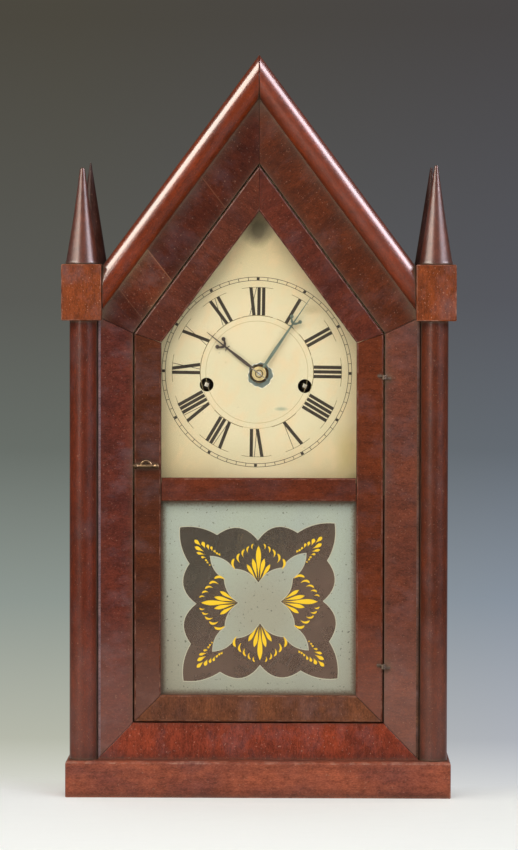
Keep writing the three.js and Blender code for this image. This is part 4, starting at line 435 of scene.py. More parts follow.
# Movement: two brass plates pinned on four pillars, with brass wheels on steel arbors and a
# coiled steel mainspring, and the gong of hammered steel wire on its iron foot behind.


def metal(name, tone, rough, seed, tarnish):
    """Bare metal with tarnish in patches and fine rubbing marks."""
    material, tree, shader = new_material(name)
    place = put(tree, "TexCoord").outputs["Object"]
    patches = noise(tree, place, (0.008, 0.008, 0.008), (0, 0, 0), seed, 4.0)
    rubs = noise(tree, place, (0.004, 0.0006, 0.0006), (0, 0.4, 0), seed + 2, 3.0)
    colour = blended(tree, between(tree, patches, 0.4, 0.68), level(*tone), level(*tarnish))
    roughness = between(tree, rubs, 0.3, 0.7, rough, rough + 0.2)
    bump = put(tree, "Bump", {"Height": rubs, "Strength": 0.2, "Distance": 0.05 * MM})
    join_up(tree, shader, Base_Color=colour, Metallic=1.0, Roughness=roughness, Normal=bump.outputs[0])
    return material


def coated(node, material):
    """Gives its material to a node whose own mesh is shown."""
    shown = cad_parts[node].data
    shown.materials.clear()
    shown.materials.append(material)


# The plates and the great wheels are darker than the other brass: painted shade for the dark inside of the
# case, with tarnish in patches
brass = metal("brass", (214, 180, 116), 0.34, 51.0, (128, 100, 58))
plate_brass_in_shade = metal("plate brass darkened as painted shade", (92, 72, 40), 0.45, 57.0, (60, 46, 28))
wheel_brass_in_shade = metal("great wheel brass darkened as painted shade", (96, 82, 60), 0.4, 58.0, (60, 50, 38))
steel = metal("steel", (150, 150, 150), 0.25, 52.0, (92, 88, 84))
blued = metal("blued steel", (70, 84, 100), 0.3, 53.0, (50, 50, 56))
iron = metal("cast iron", (70, 66, 62), 0.5, 54.0, (46, 42, 40))
for names, metal_used in (
    (("front_plate", "back_plate"), plate_brass_in_shade),
    (("centre_wheel", "minute_wheel", "hour_wheel", "third_wheel", "escape_wheel"), brass),
    (("pin_wheel", "count_wheel", "fly"), brass),
    (("time_great_wheel", "strike_great_wheel"), wheel_brass_in_shade),
    (("time_mainspring", "strike_mainspring", "verge", "hammer"), steel),
    (("gong_coil",), blued),
    (("gong_base",), iron),
):
    for node in names:
        coated(node, metal_used)

# The squares on which the two springs are wound, seen through the dial's holes
SQUARE_SIZE = 3.0
SQUARE_LENGTH = 3.4
SQUARE_SUNK = 0.3
SQUARE_TURN = 20
SQUARE_ARRIS = 0.6
square_steel = metal("winding square steel", (226, 222, 212), 0.5, 59.0, (150, 142, 130))
for train in ("time", "strike"):
    low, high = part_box(f"{train}_great_wheel")
    stub = bmesh.new()
    bmesh.ops.create_cube(stub, size=1.0)
    ends = [e for e in stub.edges if all(v.co.y < 0 for v in e.verts)]
    shape = Matrix.Diagonal((SQUARE_SIZE * MM, SQUARE_LENGTH * MM, SQUARE_SIZE * MM, 1))
    depth = low[1] + (SQUARE_LENGTH / 2 - SQUARE_SUNK) * MM
    spot = Vector(((low[0] + high[0]) / 2, depth, (low[2] + high[2]) / 2))
    stand = Matrix.Translation(spot) @ Matrix.Rotation(math.radians(SQUARE_TURN), 4, "Y") @ shape
    bmesh.ops.transform(stub, matrix=stand, verts=stub.verts)
    bmesh.ops.bevel(stub, geom=ends, offset=SQUARE_ARRIS * MM, segments=2, profile=0.5, affect="EDGES")
    finished(f"{train}_winding_square", stub, f"{train}_great_arbor", "steel", square_steel)

# Pendulum: a brass-faced lead bob on a steel wire rod, with a rating nut under it, hung by a
# short flat spring from a stud on the back plate.
pendulum_steel = metal("pendulum wire", (140, 138, 134), 0.3, 55.0, (96, 90, 84))
coated("pendulum_rod", pendulum_steel)
low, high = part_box("pendulum_bob")
bob_middle = [(a + b) / 2 for a, b in zip(low, high)]
bob_half = (high[1] - low[1]) / 2 / MM
bob_radius = (high[0] - low[0]) / 2 / MM
BOB_POINTS = 14
bob_outline = [
    (bob_radius * math.sin(math.pi * k / BOB_POINTS), -bob_half * math.cos(math.pi * k / BOB_POINTS))
    for k in range(BOB_POINTS + 1)
]
bob_brass = metal("bob brass", (214, 182, 120), 0.12, 56.0, (180, 146, 90))
bob = finished("bob_shell", spun(bob_outline, bob_middle, (0, 1, 0)), "pendulum", "brass", bob_brass)
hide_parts("pendulum_bob")

# Dial: a zinc sheet painted cream, printed in black with Roman numerals between fine rings, and
# nailed behind the frame. It has a hole for the hands and two for the winding squares.
DIAL_MIDDLE = (0.0, 290.0)
PRINT_MIDDLE = (-1.6, 291.0)
PRINT_TURN = 0.7
DIAL_FACE = -30.0
INK_OUT = 0.04

# Marks in the paint as (middle, half sizes, strength, colour): painted shade under the gable in the
# first two, verdigris below the hub, a rub mark at two o'clock, lighter at the foot and grime in the right
# corner
DIAL_STAINS_AND_SHADE = (
    ((-1.5, 390.0), (12.0, 13.0), 0.85, (88, 78, 52)),
    ((0.0, 404.0), (16.0, 12.0), 0.6, (140, 122, 84)),
    ((15.4, 265.6), (5.0, 1.6), 0.7, (150, 164, 140)),
    ((36.0, 334.0), (9.0, 4.0), 0.35, (170, 150, 100)),
    ((4.0, 222.0), (34.0, 9.0), 0.75, (240, 222, 180)),
    ((62.0, 236.0), (12.0, 20.0), 0.5, (196, 174, 106)),
    ((70.0, 217.0), (12.0, 5.0), 0.55, (140, 128, 76)),
)


def dial_paint():
    material, tree, shader = new_material("dial paint")
    place = put(tree, "TexCoord").outputs["Object"]
    broad = noise(tree, place, (0.03, 0.03, 0.03), (0, 0, 0), 61.0, 3.0, 0.6)
    warm = noise(tree, place, (0.012, 0.012, 0.02), (0, 0.5, 0), 62.0, 4.0, 0.6)
    fine = noise(tree, place, (0.0012, 0.0012, 0.0012), (0, 0, 0), 63.0, 3.0, 0.6)
    spots = noise(tree, place, (0.0022, 0.0022, 0.0022), (0, 0, 0), 64.0, 1.0)
    parts = put(tree, "SeparateXYZ", {"Vector": place}).outputs
    aside = reckon(tree, "SUBTRACT", parts["X"], DIAL_MIDDLE[0] * MM)
    above = reckon(tree, "SUBTRACT", parts["Z"], DIAL_MIDDLE[1] * MM)
    squares = [reckon(tree, "POWER", way, 2.0) for way in (aside, above)]
    out = reckon(tree, "SQRT", reckon(tree, "ADD", *squares))
    colour = blended(tree, between(tree, broad, 0.38, 0.62), level(232, 217, 178), level(226, 216, 178))
    # Darker towards the edge of the sight: painted shade
    colour = tinted(tree, out, 0.045, 0.085, 0.8, colour, (212, 190, 140))
    colour = tinted(tree, warm, 0.5, 0.72, 0.6, colour, (238, 206, 158))
    colour = tinted(tree, fine, 0.4, 0.75, 0.25, colour, (196, 184, 150))
    colour = tinted(tree, spots, 0.76, 0.8, 0.6, colour, (120, 108, 84))
    for middle, size, strength, shade in DIAL_STAINS_AND_SHADE:
        spot = (middle[0] * MM, DIAL_FACE * MM, middle[1] * MM)
        off = put(tree, "VectorMath", {0: place, 1: spot}, operation="SUBTRACT")
        shrink = (1 / size[0], 0, 1 / size[1])
        scaled = put(tree, "VectorMath", {0: off.outputs[0], 1: shrink}, operation="MULTIPLY")
        reach = put(tree, "VectorMath", {0: scaled.outputs[0]}, operation="LENGTH").outputs["Value"]
        reach = reckon(tree, "ADD", reckon(tree, "DIVIDE", reach, MM), reckon(tree, "MULTIPLY", warm, 0.8))
        colour = tinted(tree, reach, 1.5, 0.7, strength, colour, shade)
    bump = put(tree, "Bump", {"Height": broad, "Strength": 0.15, "Distance": 0.4 * MM})
    rough = between(tree, fine, 0.3, 0.7, 0.42, 0.6)
    join_up(tree, shader, Base_Color=colour, Roughness=rough, Normal=bump.outputs[0])
    return material


def flat_mesh(layers, depth, place=Matrix.Identity(4)):
    """Flat shapes that face the front: each layer is a list of closed (x, z) outlines in millimetres,
    and an outline inside another one is a hole in it."""
    bm = bmesh.new()
    for outlines in layers:
        curve = bpy.data.curves.new("outline", "CURVE")
        curve.dimensions = "2D"
        curve.fill_mode = "BOTH"
        for outline in outlines:
            spline = curve.splines.new("POLY")
            spline.points.add(len(outline) - 1)
            for point, (x, z) in zip(spline.points, outline):
                point.co = (x * MM, z * MM, 0, 1)
            spline.use_cyclic_u = True
        draft = bpy.data.objects.new("outline", curve)
        filled = draft.to_mesh()
        bm.from_mesh(filled)
        draft.to_mesh_clear()
        bpy.data.objects.remove(draft)
        bpy.data.curves.remove(curve)
    stand = Matrix.Translation((0, depth * MM, 0)) @ place @ Matrix.Rotation(math.pi / 2, 4, "X")
    bmesh.ops.transform(bm, matrix=stand, verts=bm.verts)
    return bm


def ink(name, tone, seed, wear=0.4):
    """Flat paint or ink, thin in places."""
    material, tree, shader = new_material(name)
    place = put(tree, "TexCoord").outputs["Object"]
    thin = noise(tree, place, (0.0018, 0.0018, 0.0018), (0, 0, 0), seed, 4.0, 0.7)
    colour = blended(tree, between(tree, thin, 0.5, 0.8, 0.0, wear), level(*tone), toned(level(*tone), 1.9))
    rough = between(tree, thin, 0.3, 0.7, 0.35, 0.55)
    join_up(tree, shader, Base_Color=colour, Roughness=rough)
    return material


def on_dial(angle, across, out, middle=PRINT_MIDDLE):
    """A point on the dial, clockwise across and outward from a clock angle in degrees. The print sits
    a little off the hands' hole and is turned a little."""
    turn = math.radians(angle + PRINT_TURN)
    x = middle[0] + out * math.sin(turn) + across * math.cos(turn)
    z = middle[1] + out * math.cos(turn) - across * math.sin(turn)
    return (x, z)


dressed("dial", "case", "dial_paint", dial_paint(), arris=0.2, suffix="sheet")

# Numerals by their clock angle, in millimetres: thick strokes and thin ones as (inner across, outer
# across), and then how far the numeral reaches to both sides
NUMERAL_IN = 39.2
NUMERAL_OUT = 58.5
THICK = 2.3
THIN = 0.4
SERIF = 0.32
NUMERALS = {
    0: ([(-2.5, -4.9), (0.8, 0.8), (4.0, 4.0)], [(-5.4, -1.0)], (-6.0, 5.4)),
    30: ([(0, 0)], [], (-1.5, 1.5)),
    60: ([(-2.0, -2.0), (1.3, 1.3)], [], (-3.6, 2.9)),
    90: ([(-4.0, -4.0), (-0.8, -0.8), (2.4, 2.4)], [], (-5.5, 3.9)),
    120: ([(-5.1, -5.1), (-2.0, -2.0), (1.1, 1.1), (4.3, 4.3)], [], (-6.6, 5.8)),
    150: ([(0.5, -3.0)], [(0.9, 3.6)], (-4.5, 4.4)),
    180: ([(-0.9, -4.4), (3.1, 3.1)], [(-0.5, 0.9)], (-5.8, 4.6)),
    210: ([(-1.5, -4.8), (2.3, 2.3), (5.4, 5.4)], [(-1.1, 0.2)], (-6.2, 6.8)),
    240: ([(-2.6, -6.0), (0.65, 0.65), (3.7, 3.7), (6.6, 6.6)], [(-2.2, -1.4)], (-7.4, 8.0)),
    270: ([(-0.9, -0.9), (4.7, 1.9)], [(1.5, 5.6)], (-2.4, 6.4)),
    300: ([(1.6, -1.8)], [(-1.8, 2.5)], (-3.2, 3.3)),
    330: ([(-1.6, -4.2), (1.85, 1.85)], [(-4.7, -0.4)], (-5.4, 3.3)),
}


def stroke(angle, inner, outer, width):
    half = width / 2
    return [
        on_dial(angle, inner - half, NUMERAL_IN),
        on_dial(angle, inner + half, NUMERAL_IN),
        on_dial(angle, outer + half, NUMERAL_OUT),
        on_dial(angle, outer - half, NUMERAL_OUT),
    ]


thick_strokes = [stroke(a, *ends, THICK) for a, (thick, _, _) in NUMERALS.items() for ends in thick]
thin_strokes = [stroke(a, *ends, THIN) for a, (_, thin, _) in NUMERALS.items() for ends in thin]
dial_ink = ink("dial ink", (58, 48, 34), 65.0)
layers = [thick_strokes, thin_strokes]
finished("dial_numerals", flat_mesh(layers, DIAL_FACE - INK_OUT), "case", "dial_paint", dial_ink)

# Long hairline serifs, which follow the dial round over and under each numeral
SERIF_OVERHANG = 5.2
SERIF_POINTS = 8


def serif(angle, low, high, radius):
    """A hairline arc between two places across a numeral."""
    spots = [low + (high - low) * k / SERIF_POINTS for k in range(SERIF_POINTS + 1)]
    turns = [angle + math.degrees(spot / radius) for spot in spots]
    outer = [on_dial(turn, 0, radius + SERIF / 2) for turn in turns]
    inner = [on_dial(turn, 0, radius - SERIF / 2) for turn in turns]
    return outer + inner[::-1]


serifs = [
    serif(a, low - SERIF_OVERHANG, high + SERIF_OVERHANG, radius)
    for a, (_, _, (low, high)) in NUMERALS.items()
    for radius in (NUMERAL_IN, NUMERAL_OUT)
]
hairline_ink = ink("dial hairline ink", (112, 98, 66), 69.0, 0.9)
finished("dial_serifs", flat_mesh([serifs], DIAL_FACE - INK_OUT / 2), "case", "dial_paint", hairline_ink)

# Rings and minute marks of the dial, in fine printed lines
RING_POINTS = 180
TRACK = (63.2, 65.5)
RING_WIDTH = 0.36
FAINT_RADII = (38.9, 35.2)
FAINT_WIDTH = 0.26
MINUTE_TICK = 0.4
FIVE_WIDE = 2.0
FIVE_TALL = 1.8


def circle(radius, points, middle):
    """A closed round outline."""
    turns = [2 * math.pi * k / points for k in range(points)]
    return [(middle[0] + radius * math.cos(t), middle[1] + radius * math.sin(t)) for t in turns]


def ring(radius, width):
    """Two closed outlines, the second one a hole in the first."""
    return [circle(r, RING_POINTS, PRINT_MIDDLE) for r in (radius + width / 2, radius - width / 2)]


def mark(angle, width, inner, outer):
    """A small upright mark across the minute track."""
    half = width / 2
    corners = ((-half, inner), (half, inner), (half, outer), (-half, outer))
    return [on_dial(angle, across, out) for across, out in corners]


minute_marks = [mark(6 * k, MINUTE_TICK, *TRACK) for k in range(60) if k % 5]
five_ends = (sum(TRACK) / 2 - FIVE_TALL / 2, sum(TRACK) / 2 + FIVE_TALL / 2)
five_marks = [mark(30 * k, FIVE_WIDE, *five_ends) for k in range(12)]
rings = [outline for radius in TRACK for outline in ring(radius, RING_WIDTH)]
layers = [rings, minute_marks, five_marks]
finished("dial_minute_track", flat_mesh(layers, DIAL_FACE - INK_OUT), "case", "dial_paint", dial_ink)
faint_ink = ink("faint dial line", (176, 156, 112), 66.0, 0.3)
faint = [outline for radius in FAINT_RADII for outline in ring(radius, FAINT_WIDTH)]
finished("dial_faint_lines", flat_mesh([faint], DIAL_FACE - INK_OUT / 2), "case", "dial_paint", faint_ink)

# Bare zinc where the paint has chipped off round the hands' hole, with a pale broken edge
CHIP_POINTS = 72
CHIP_RADIUS = 8.3
HOLE_RADIUS = 6.5
HOLE_POINTS = 48
BROKEN_EDGE = 0.5


def chipped(extra):
    """The ragged edge of the chip, widest below the hole on the right."""
    edge = []
    for k in range(CHIP_POINTS):
        turn = 2 * math.pi * k / CHIP_POINTS
        lobe = 1.3 * math.cos(turn - 2.5) + 0.35 * math.sin(5 * turn) + 0.3 * math.sin(11 * turn + 1)
        crumb = extra * (1.1 + 0.9 * math.sin(17 * turn))
        edge.append(on_dial(math.degrees(turn), 0, CHIP_RADIUS + lobe + crumb, DIAL_MIDDLE))
    return edge


hole_turns = [360 * k / HOLE_POINTS for k in range(HOLE_POINTS)]
hole_edge = [on_dial(turn, 0, HOLE_RADIUS, DIAL_MIDDLE) for turn in hole_turns]
zinc = ink("bare zinc", (112, 124, 116), 67.0, 0.6)
chip_edge = ink("broken paint edge", (236, 230, 208), 68.0, 0.2)
layers = [[chipped(BROKEN_EDGE), hole_edge]]
finished("dial_chip_edge", flat_mesh(layers, DIAL_FACE - INK_OUT), "case", "dial_paint", chip_edge)
layers = [[chipped(0.0), hole_edge]]
finished("dial_bare_zinc", flat_mesh(layers, DIAL_FACE - 2 * INK_OUT), "case", "dial_paint", zinc)

# Hands: thin steel stampings with a small curled cross near the tip, the hour hand gone brown and
# the minute hand grey-green. A brass washer and a steel taper pin hold them on the centre arbor.
HAND_THICK = 0.45
BALL_POINTS = 12
BOSS_POINTS = 36

# For each hand: its widths by their share of the length, its cross as (foot, spread, rise, blob),
# its boss, the clock angle that it shows and how far out its front is
HOUR_BLADE = ((0, 1.7), (0.2, 2.0), (0.36, 2.3), (0.62, 1.2), (0.72, 0.9), (1, 0.35))
HOUR_CROSS = (29.6, 4.0, 5.6, 1.4)
HOUR_BOSS = 5.7
HOUR_ANGLE = 308.3
HOUR_FRONT = -31.6
MINUTE_BLADE = ((0, 1.7), (0.16, 2.0), (0.3, 2.3), (0.6, 1.3), (0.72, 0.9), (1, 0.3))
MINUTE_CROSS = (40.8, 4.0, 5.6, 1.3)
MINUTE_BOSS = 4.4
MINUTE_ANGLE = 34
MINUTE_FRONT = -33.4


def curl(side, foot, spread, rise, blob):
    """Half of a hand's cross: a thin arm that bows outward and ends in a round blob."""
    arm = [
        (side * 0.2, foot),
        (side * spread * 0.55, foot + rise * 0.2),
        (side * spread * 0.92, foot + rise * 0.62),
        (side * spread * 0.8, foot + rise * 0.78),
        (side * spread * 0.42, foot + rise * 0.52),
        (side * 0.2, foot + 1.9),
    ]
    return arm, circle(blob, BALL_POINTS, (side * spread * 0.86, foot + rise * 0.8))


def hand_layers(length, blade, cross, boss):
    """The flat outlines of a hand that points up: blade, boss, cross bar and curls."""
    right = [(width / 2, length * share) for share, width in blade]
    left = [(-x, z) for x, z in reversed(right)]
    foot, spread, rise, blob = cross
    bar = [
        (-spread * 0.62, foot - 2.1),
        (-0.4, foot - 1.5),
        (0.4, foot - 1.5),
        (spread * 0.62, foot - 2.1),
        (spread * 0.55, foot - 1.5),
        (0.4, foot - 0.8),
        (-0.4, foot - 0.8),
        (-spread * 0.55, foot - 1.5),
    ]
    layers = [[right + left], [circle(boss, BOSS_POINTS, (0, 0))], [bar]]
    for side in (1, -1):
        for outline in curl(side, foot, spread, rise, blob):
            layers.append([outline])
    return layers


def hand(name, node, body, angle, front, material, *shape):
    """A stamped hand, turned to its clock angle with its front this far out."""
    middle = Matrix.Translation((DIAL_MIDDLE[0] * MM, 0, DIAL_MIDDLE[1] * MM))
    turn = middle @ Matrix.Rotation(math.radians(angle), 4, "Y")
    bm = flat_mesh(hand_layers(*shape), front, turn)
    bmesh.ops.solidify(bm, geom=bm.faces, thickness=HAND_THICK * MM)
    made = finished(name, bm, body, "blued_steel", material)
    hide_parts(node)


def hand_length(low, high):
    """From the hub to the tip of a hand, in millimetres, from its box."""
    return math.hypot(max(abs(low[0]), abs(high[0])), high[2] - DIAL_MIDDLE[1] * MM) / MM


hour_finish = ink("hour hand finish", (78, 66, 58), 71.0, 0.5)
minute_finish = ink("minute hand finish", (104, 118, 104), 72.0, 0.5)
stance = (HOUR_ANGLE, HOUR_FRONT, hour_finish)
shape = (hand_length(*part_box("hour_hand")), HOUR_BLADE, HOUR_CROSS, HOUR_BOSS)
hand("hour_hand_stamping", "hour_hand", "hour_pipe", *stance, *shape)
stance = (MINUTE_ANGLE, MINUTE_FRONT, minute_finish)
shape = (hand_length(*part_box("minute_hand")), MINUTE_BLADE, MINUTE_CROSS, MINUTE_BOSS)
hand("minute_hand_stamping", "minute_hand", "centre_arbor", *stance, *shape)

# The washer with a dark ring painted as the shade of its groove, and the arbor's end, painted pale for its
# shine, with the taper pin through it
HUB_FRONT = -34.6
GROOVE_RADII = (2.8, 2.2)
GROOVE_OUT = 0.08
PIN_RADII = (0.45, 0.25)
PIN_LENGTH = 13
PIN_TURN = 127
PIN_OUT = 0.75
hub = (DIAL_MIDDLE[0] * MM, HUB_FRONT * MM, DIAL_MIDDLE[1] * MM)
washer_brass = metal("hand washer brass", (240, 222, 170), 0.45, 73.0, (200, 176, 120))
washer_outline = [(1.5, 0), (4.7, -0.05), (5.0, 0.25), (5.0, 0.9), (1.5, 0.9)]
washer_outline.append(washer_outline[0])
finished("hand_washer", spun(washer_outline, hub, (0, 1, 0)), "centre_arbor", "brass", washer_brass)
pin_outline = [(0, -0.9), (0.9, -0.8), (1.4, -0.4), (1.4, 0.6), (0, 0.6)]
# The arbor's end is pale flat paint rather than metal: a painted shine
steel_with_painted_shine = ink("steel with painted shine", (214, 210, 200), 74.0, 0.2)
finished("arbor_end", spun(pin_outline, hub, (0, 1, 0)), "centre_arbor", "steel", steel_with_painted_shine)
# A flat dark ring on the washer: painted shade of a groove that the washer's shape does not have
groove = [circle(radius, BOSS_POINTS, DIAL_MIDDLE) for radius in GROOVE_RADII]
groove_shade_ink = ink("washer groove painted shade", (70, 56, 34), 75.0)
groove_mesh = flat_mesh([groove], HUB_FRONT - GROOVE_OUT)
finished("washer_groove", groove_mesh, "centre_arbor", "brass", groove_shade_ink)
taper = bmesh.new()
bmesh.ops.create_cone(
    taper,
    cap_ends=True,
    segments=16,
    radius1=PIN_RADII[0] * MM,
    radius2=PIN_RADII[1] * MM,
    depth=PIN_LENGTH * MM,
)
pushed = Matrix.Translation((hub[0], hub[1] - PIN_OUT * MM, hub[2]))
pushed = pushed @ Matrix.Rotation(math.radians(PIN_TURN), 4, "Y")
bmesh.ops.transform(taper, matrix=pushed, verts=taper.verts)
finished("taper_pin", taper, "centre_arbor", "steel", ink("taper pin steel", (150, 140, 124), 76.0))

# Door: six pieces of veneered softwood, halved and glued, with a rebate behind for the two panes.
# It hangs on two small brass hinges at the right and shuts with a turn catch at the left.
# Each door piece as (node, tone, grain lie, haze, paleness low down from dust and painted light from the
# table below, the way its rounded arrises run)
DOOR_PIECES = (
    ("door_bottom_rail", (99, 58, 37), 90, 0.2, 0.0, (1, 0, 0)),
    ("door_middle_rail", (88, 38, 20), 0, 0.1, 0.0, (1, 0, 0)),
    ("door_hinge_stile", (90, 40, 20), 0, 0.15, 0.18, UPWARD),
    ("door_latch_stile", (75, 35, 17), 0, 0.2, 0.18, UPWARD),
    ("door_left_rake", (80, 38, 25), 90 - slope, 0.15, 0.0, UP_RIGHT),
    ("door_right_rake", (82, 36, 24), 90 + slope, 0.15, 0.0, UP_LEFT),
)
for node, tone, lie, haze, low_dust_and_light, along in DOOR_PIECES:
    label = node.replace("_", " ")
    veneer = wood(f"{label} veneer", tone, lie, 81.0 + lie / 20, haze=haze, low_dust_and_light=low_dust_and_light)
    edge = worn(f"{label} edge", tone, lie, 82.0, 0.35)
    dressed(node, "door", "case_wood", veneer, edge, arris=0.4, along=along)
hinge_brass = metal("hinge brass", (120, 104, 92), 0.5, 84.0, (74, 62, 54))
for name in ("upper", "lower"):
    dressed(f"{name}_hinge_frame_leaf", "case", "brass", hinge_brass, arris=0.15, suffix="brass")
    dressed(f"{name}_hinge_door_leaf", "door", "brass", hinge_brass, arris=0.15, suffix="brass")

# Turn catch: a turned brass bar with a ball at each end and a small arched loop, on an arbor
# through the door that carries the tongue behind it.
CATCH_MIDDLE = Vector((-77.3, -46.15, 226.6)) * MM
HALF_BAR = [
    (0, -8.9),
    (1.0, -8.7),
    (1.8, -7.9),
    (1.9, -7.0),
    (1.5, -6.0),
    (1.1, -5.3),
    (1.25, -3.0),
    (1.45, 0),
]
BOW_RADIUS = 3.6
BOW_WIRE = 0.65
ARBOR_RADIUS = 1.3
ARBOR_LENGTH = 16.6
TONGUE_MIDDLE = Vector((-77.3, -30.95, 220.1)) * MM
TONGUE_SIZE = (4 * MM, 0.9 * MM, 17 * MM, 1)
TONGUE_ARRIS = 0.2
catch_brass = metal("catch brass", (146, 120, 92), 0.34, 85.0, (78, 62, 46))
outline = HALF_BAR + [(radius, -along) for radius, along in reversed(HALF_BAR[:-1])]
bar = finished("catch_bar", spun(outline, CATCH_MIDDLE, (1, 0, 0)), "catch", "brass", catch_brass)
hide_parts("door_catch")
bow = bmesh.new()
bmesh.ops.create_circle(bow, cap_ends=False, segments=12, radius=BOW_WIRE * MM)
wire = Matrix.Translation(CATCH_MIDDLE + Vector((BOW_RADIUS, 0, 0)) * MM)
bmesh.ops.transform(bow, matrix=wire, verts=bow.verts)
bent = bow.verts[:] + bow.edges[:]
bmesh.ops.spin(bow, geom=bent, cent=CATCH_MIDDLE, axis=(0, -1, 0), angle=math.pi, steps=24)
bmesh.ops.recalc_face_normals(bow, faces=bow.faces)
finished("catch_bow", bow, "catch", "brass", catch_brass)
outline = [(0, 0), (ARBOR_RADIUS, 0), (ARBOR_RADIUS, ARBOR_LENGTH), (0, ARBOR_LENGTH)]
finished("catch_arbor", spun(outline, CATCH_MIDDLE, (0, 1, 0)), "catch", "steel", steel)
tongue = bmesh.new()
bmesh.ops.create_cube(tongue, size=1.0)
stand = Matrix.Translation(TONGUE_MIDDLE) @ Matrix.Diagonal(TONGUE_SIZE)
bmesh.ops.transform(tongue, matrix=stand, verts=tongue.verts)
rounding = {"offset": TONGUE_ARRIS * MM, "segments": 2, "profile": 0.5, "affect": "EDGES"}
bmesh.ops.bevel(tongue, geom=tongue.edges[:], **rounding)
finished("catch_tongue", tongue, "catch", "brass", catch_brass)

# Panes: old clear glass over the dial, and a lower pane painted on its back in pale grey-green
# round a see-through ornament with yellow leaves. Both are held in the rebate.


def pane_glass(name, seed):
    material, tree, shader = new_material(name)
    place = put(tree, "TexCoord").outputs["Object"]
    ripple = noise(tree, place, (0.02, 0.02, 0.05), (0, 0, 0), seed, 2.0)
    smears = noise(tree, place, (0.015, 0.015, 0.004), (0, 0.3, 0), seed + 1, 3.0)
    bump = put(tree, "Bump", {"Height": ripple, "Strength": 0.1, "Distance": 0.2 * MM})
    clear = put(tree, "BsdfTransparent", {"Color": (0.978, 0.974, 0.962, 1)})
    shine = put(tree, "BsdfGlossy", {"Roughness": between(tree, smears, 0.4, 0.7, 0.02, 0.09)})
    tree.links.new(bump.outputs[0], shine.inputs["Normal"])
    facing = put(tree, "Fresnel", {"IOR": 1.45})
    outside = reckon(tree, "SUBTRACT", 1.0, put(tree, "NewGeometry").outputs["Backfacing"])
    share = reckon(tree, "MULTIPLY", facing.outputs[0], outside)
    both = put(tree, "MixShader", {0: share, 1: clear.outputs[0], 2: shine.outputs[0]})
    tree.nodes.remove(shader)
    tree.links.new(both.outputs[0], tree.nodes["Material Output"].inputs["Surface"])
    return material


dial_glass = pane_glass("dial pane glass", 91.0)
dressed("upper_glass", "door", "clear_glass", dial_glass, arris=0.2, suffix="pane")
low_glass = pane_glass("tablet pane glass", 92.0)
dressed("tablet_glass", "door", "clear_glass", low_glass, arris=0.2, suffix="pane")

# Painted tablet. Its outlines run clockwise, and each edge bulges outward by a share of its length.
PAINT_BACK = -36.9
LINE_BEHIND = 0.06
WASH_BEHIND = 0.1
LEAVES_BEFORE = 0.04
OPENING_MIDDLE = 0.1354
OPENING_HALF = (0.0672, 0.0668)
EDGE_POINTS = 10
FRAME_OUTLINE = (
    ((-54.2, 184.0), 0.09), ((-28.7, 178.8), 0.24), ((-0.5, 175.1), 0.24), ((26.8, 180.4), 0.09),
    ((52.3, 187.0), 0.09), ((47.1, 161.4), 0.24), ((44.2, 133.3), 0.24), ((48.6, 105.4), 0.09),
    ((54.5, 79.9), 0.09), ((29.1, 85.4), 0.24), ((1.1, 89.2), 0.24), ((-26.5, 84.3), 0.09),
    ((-51.7, 77.9), 0.09), ((-46.6, 103.5), 0.24), ((-42.8, 131.3), 0.24), ((-47.6, 159.0), 0.09),
)
CROSS_OUTLINE = tuple(
    (point, 0.13)
    for point in (
        (-33.6, 164.4), (-17.0, 155.6), (-0.1, 146.0), (16.2, 156.5),
        (33.1, 166.7), (23.6, 148.8), (15.2, 133.0), (25.2, 115.5),
        (34.7, 99.3), (17.7, 108.4), (1.0, 118.0), (-15.9, 107.3),
        (-31.9, 98.2), (-23.4, 115.4), (-14.0, 132.0), (-23.9, 148.2),
    )
)


def bulged(corners):
    """A closed outline whose edges are arcs, from clockwise (corner, rise share) pairs."""
    outline = []
    for (start, share), (end, _) in zip(corners, corners[1:] + corners[:1]):
        along = Vector(end) - Vector(start)
        outward = Vector((-along.y, along.x))
        for k in range(EDGE_POINTS):
            t = k / EDGE_POINTS
            point = Vector(start) + along * t + outward * share * 4 * t * (1 - t)
            outline.append(tuple(point))
    return outline


def grown(outline, amount):
    """The outline moved outward along its own normals."""
    count = len(outline)
    moved = []
    for k, (x, z) in enumerate(outline):
        before = Vector(outline[k - 1])
        after = Vector(outline[(k + 1) % count])
        along = (after - before).normalized()
        moved.append((x - along.y * amount, z + along.x * amount))
    return moved


low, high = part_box("tablet_glass")
pane_edge = [
    (low[0] / MM, low[2] / MM),
    (high[0] / MM, low[2] / MM),
    (high[0] / MM, high[2] / MM),
    (low[0] / MM, high[2] / MM),
]
ornament = bulged(FRAME_OUTLINE)
cross = bulged(CROSS_OUTLINE)


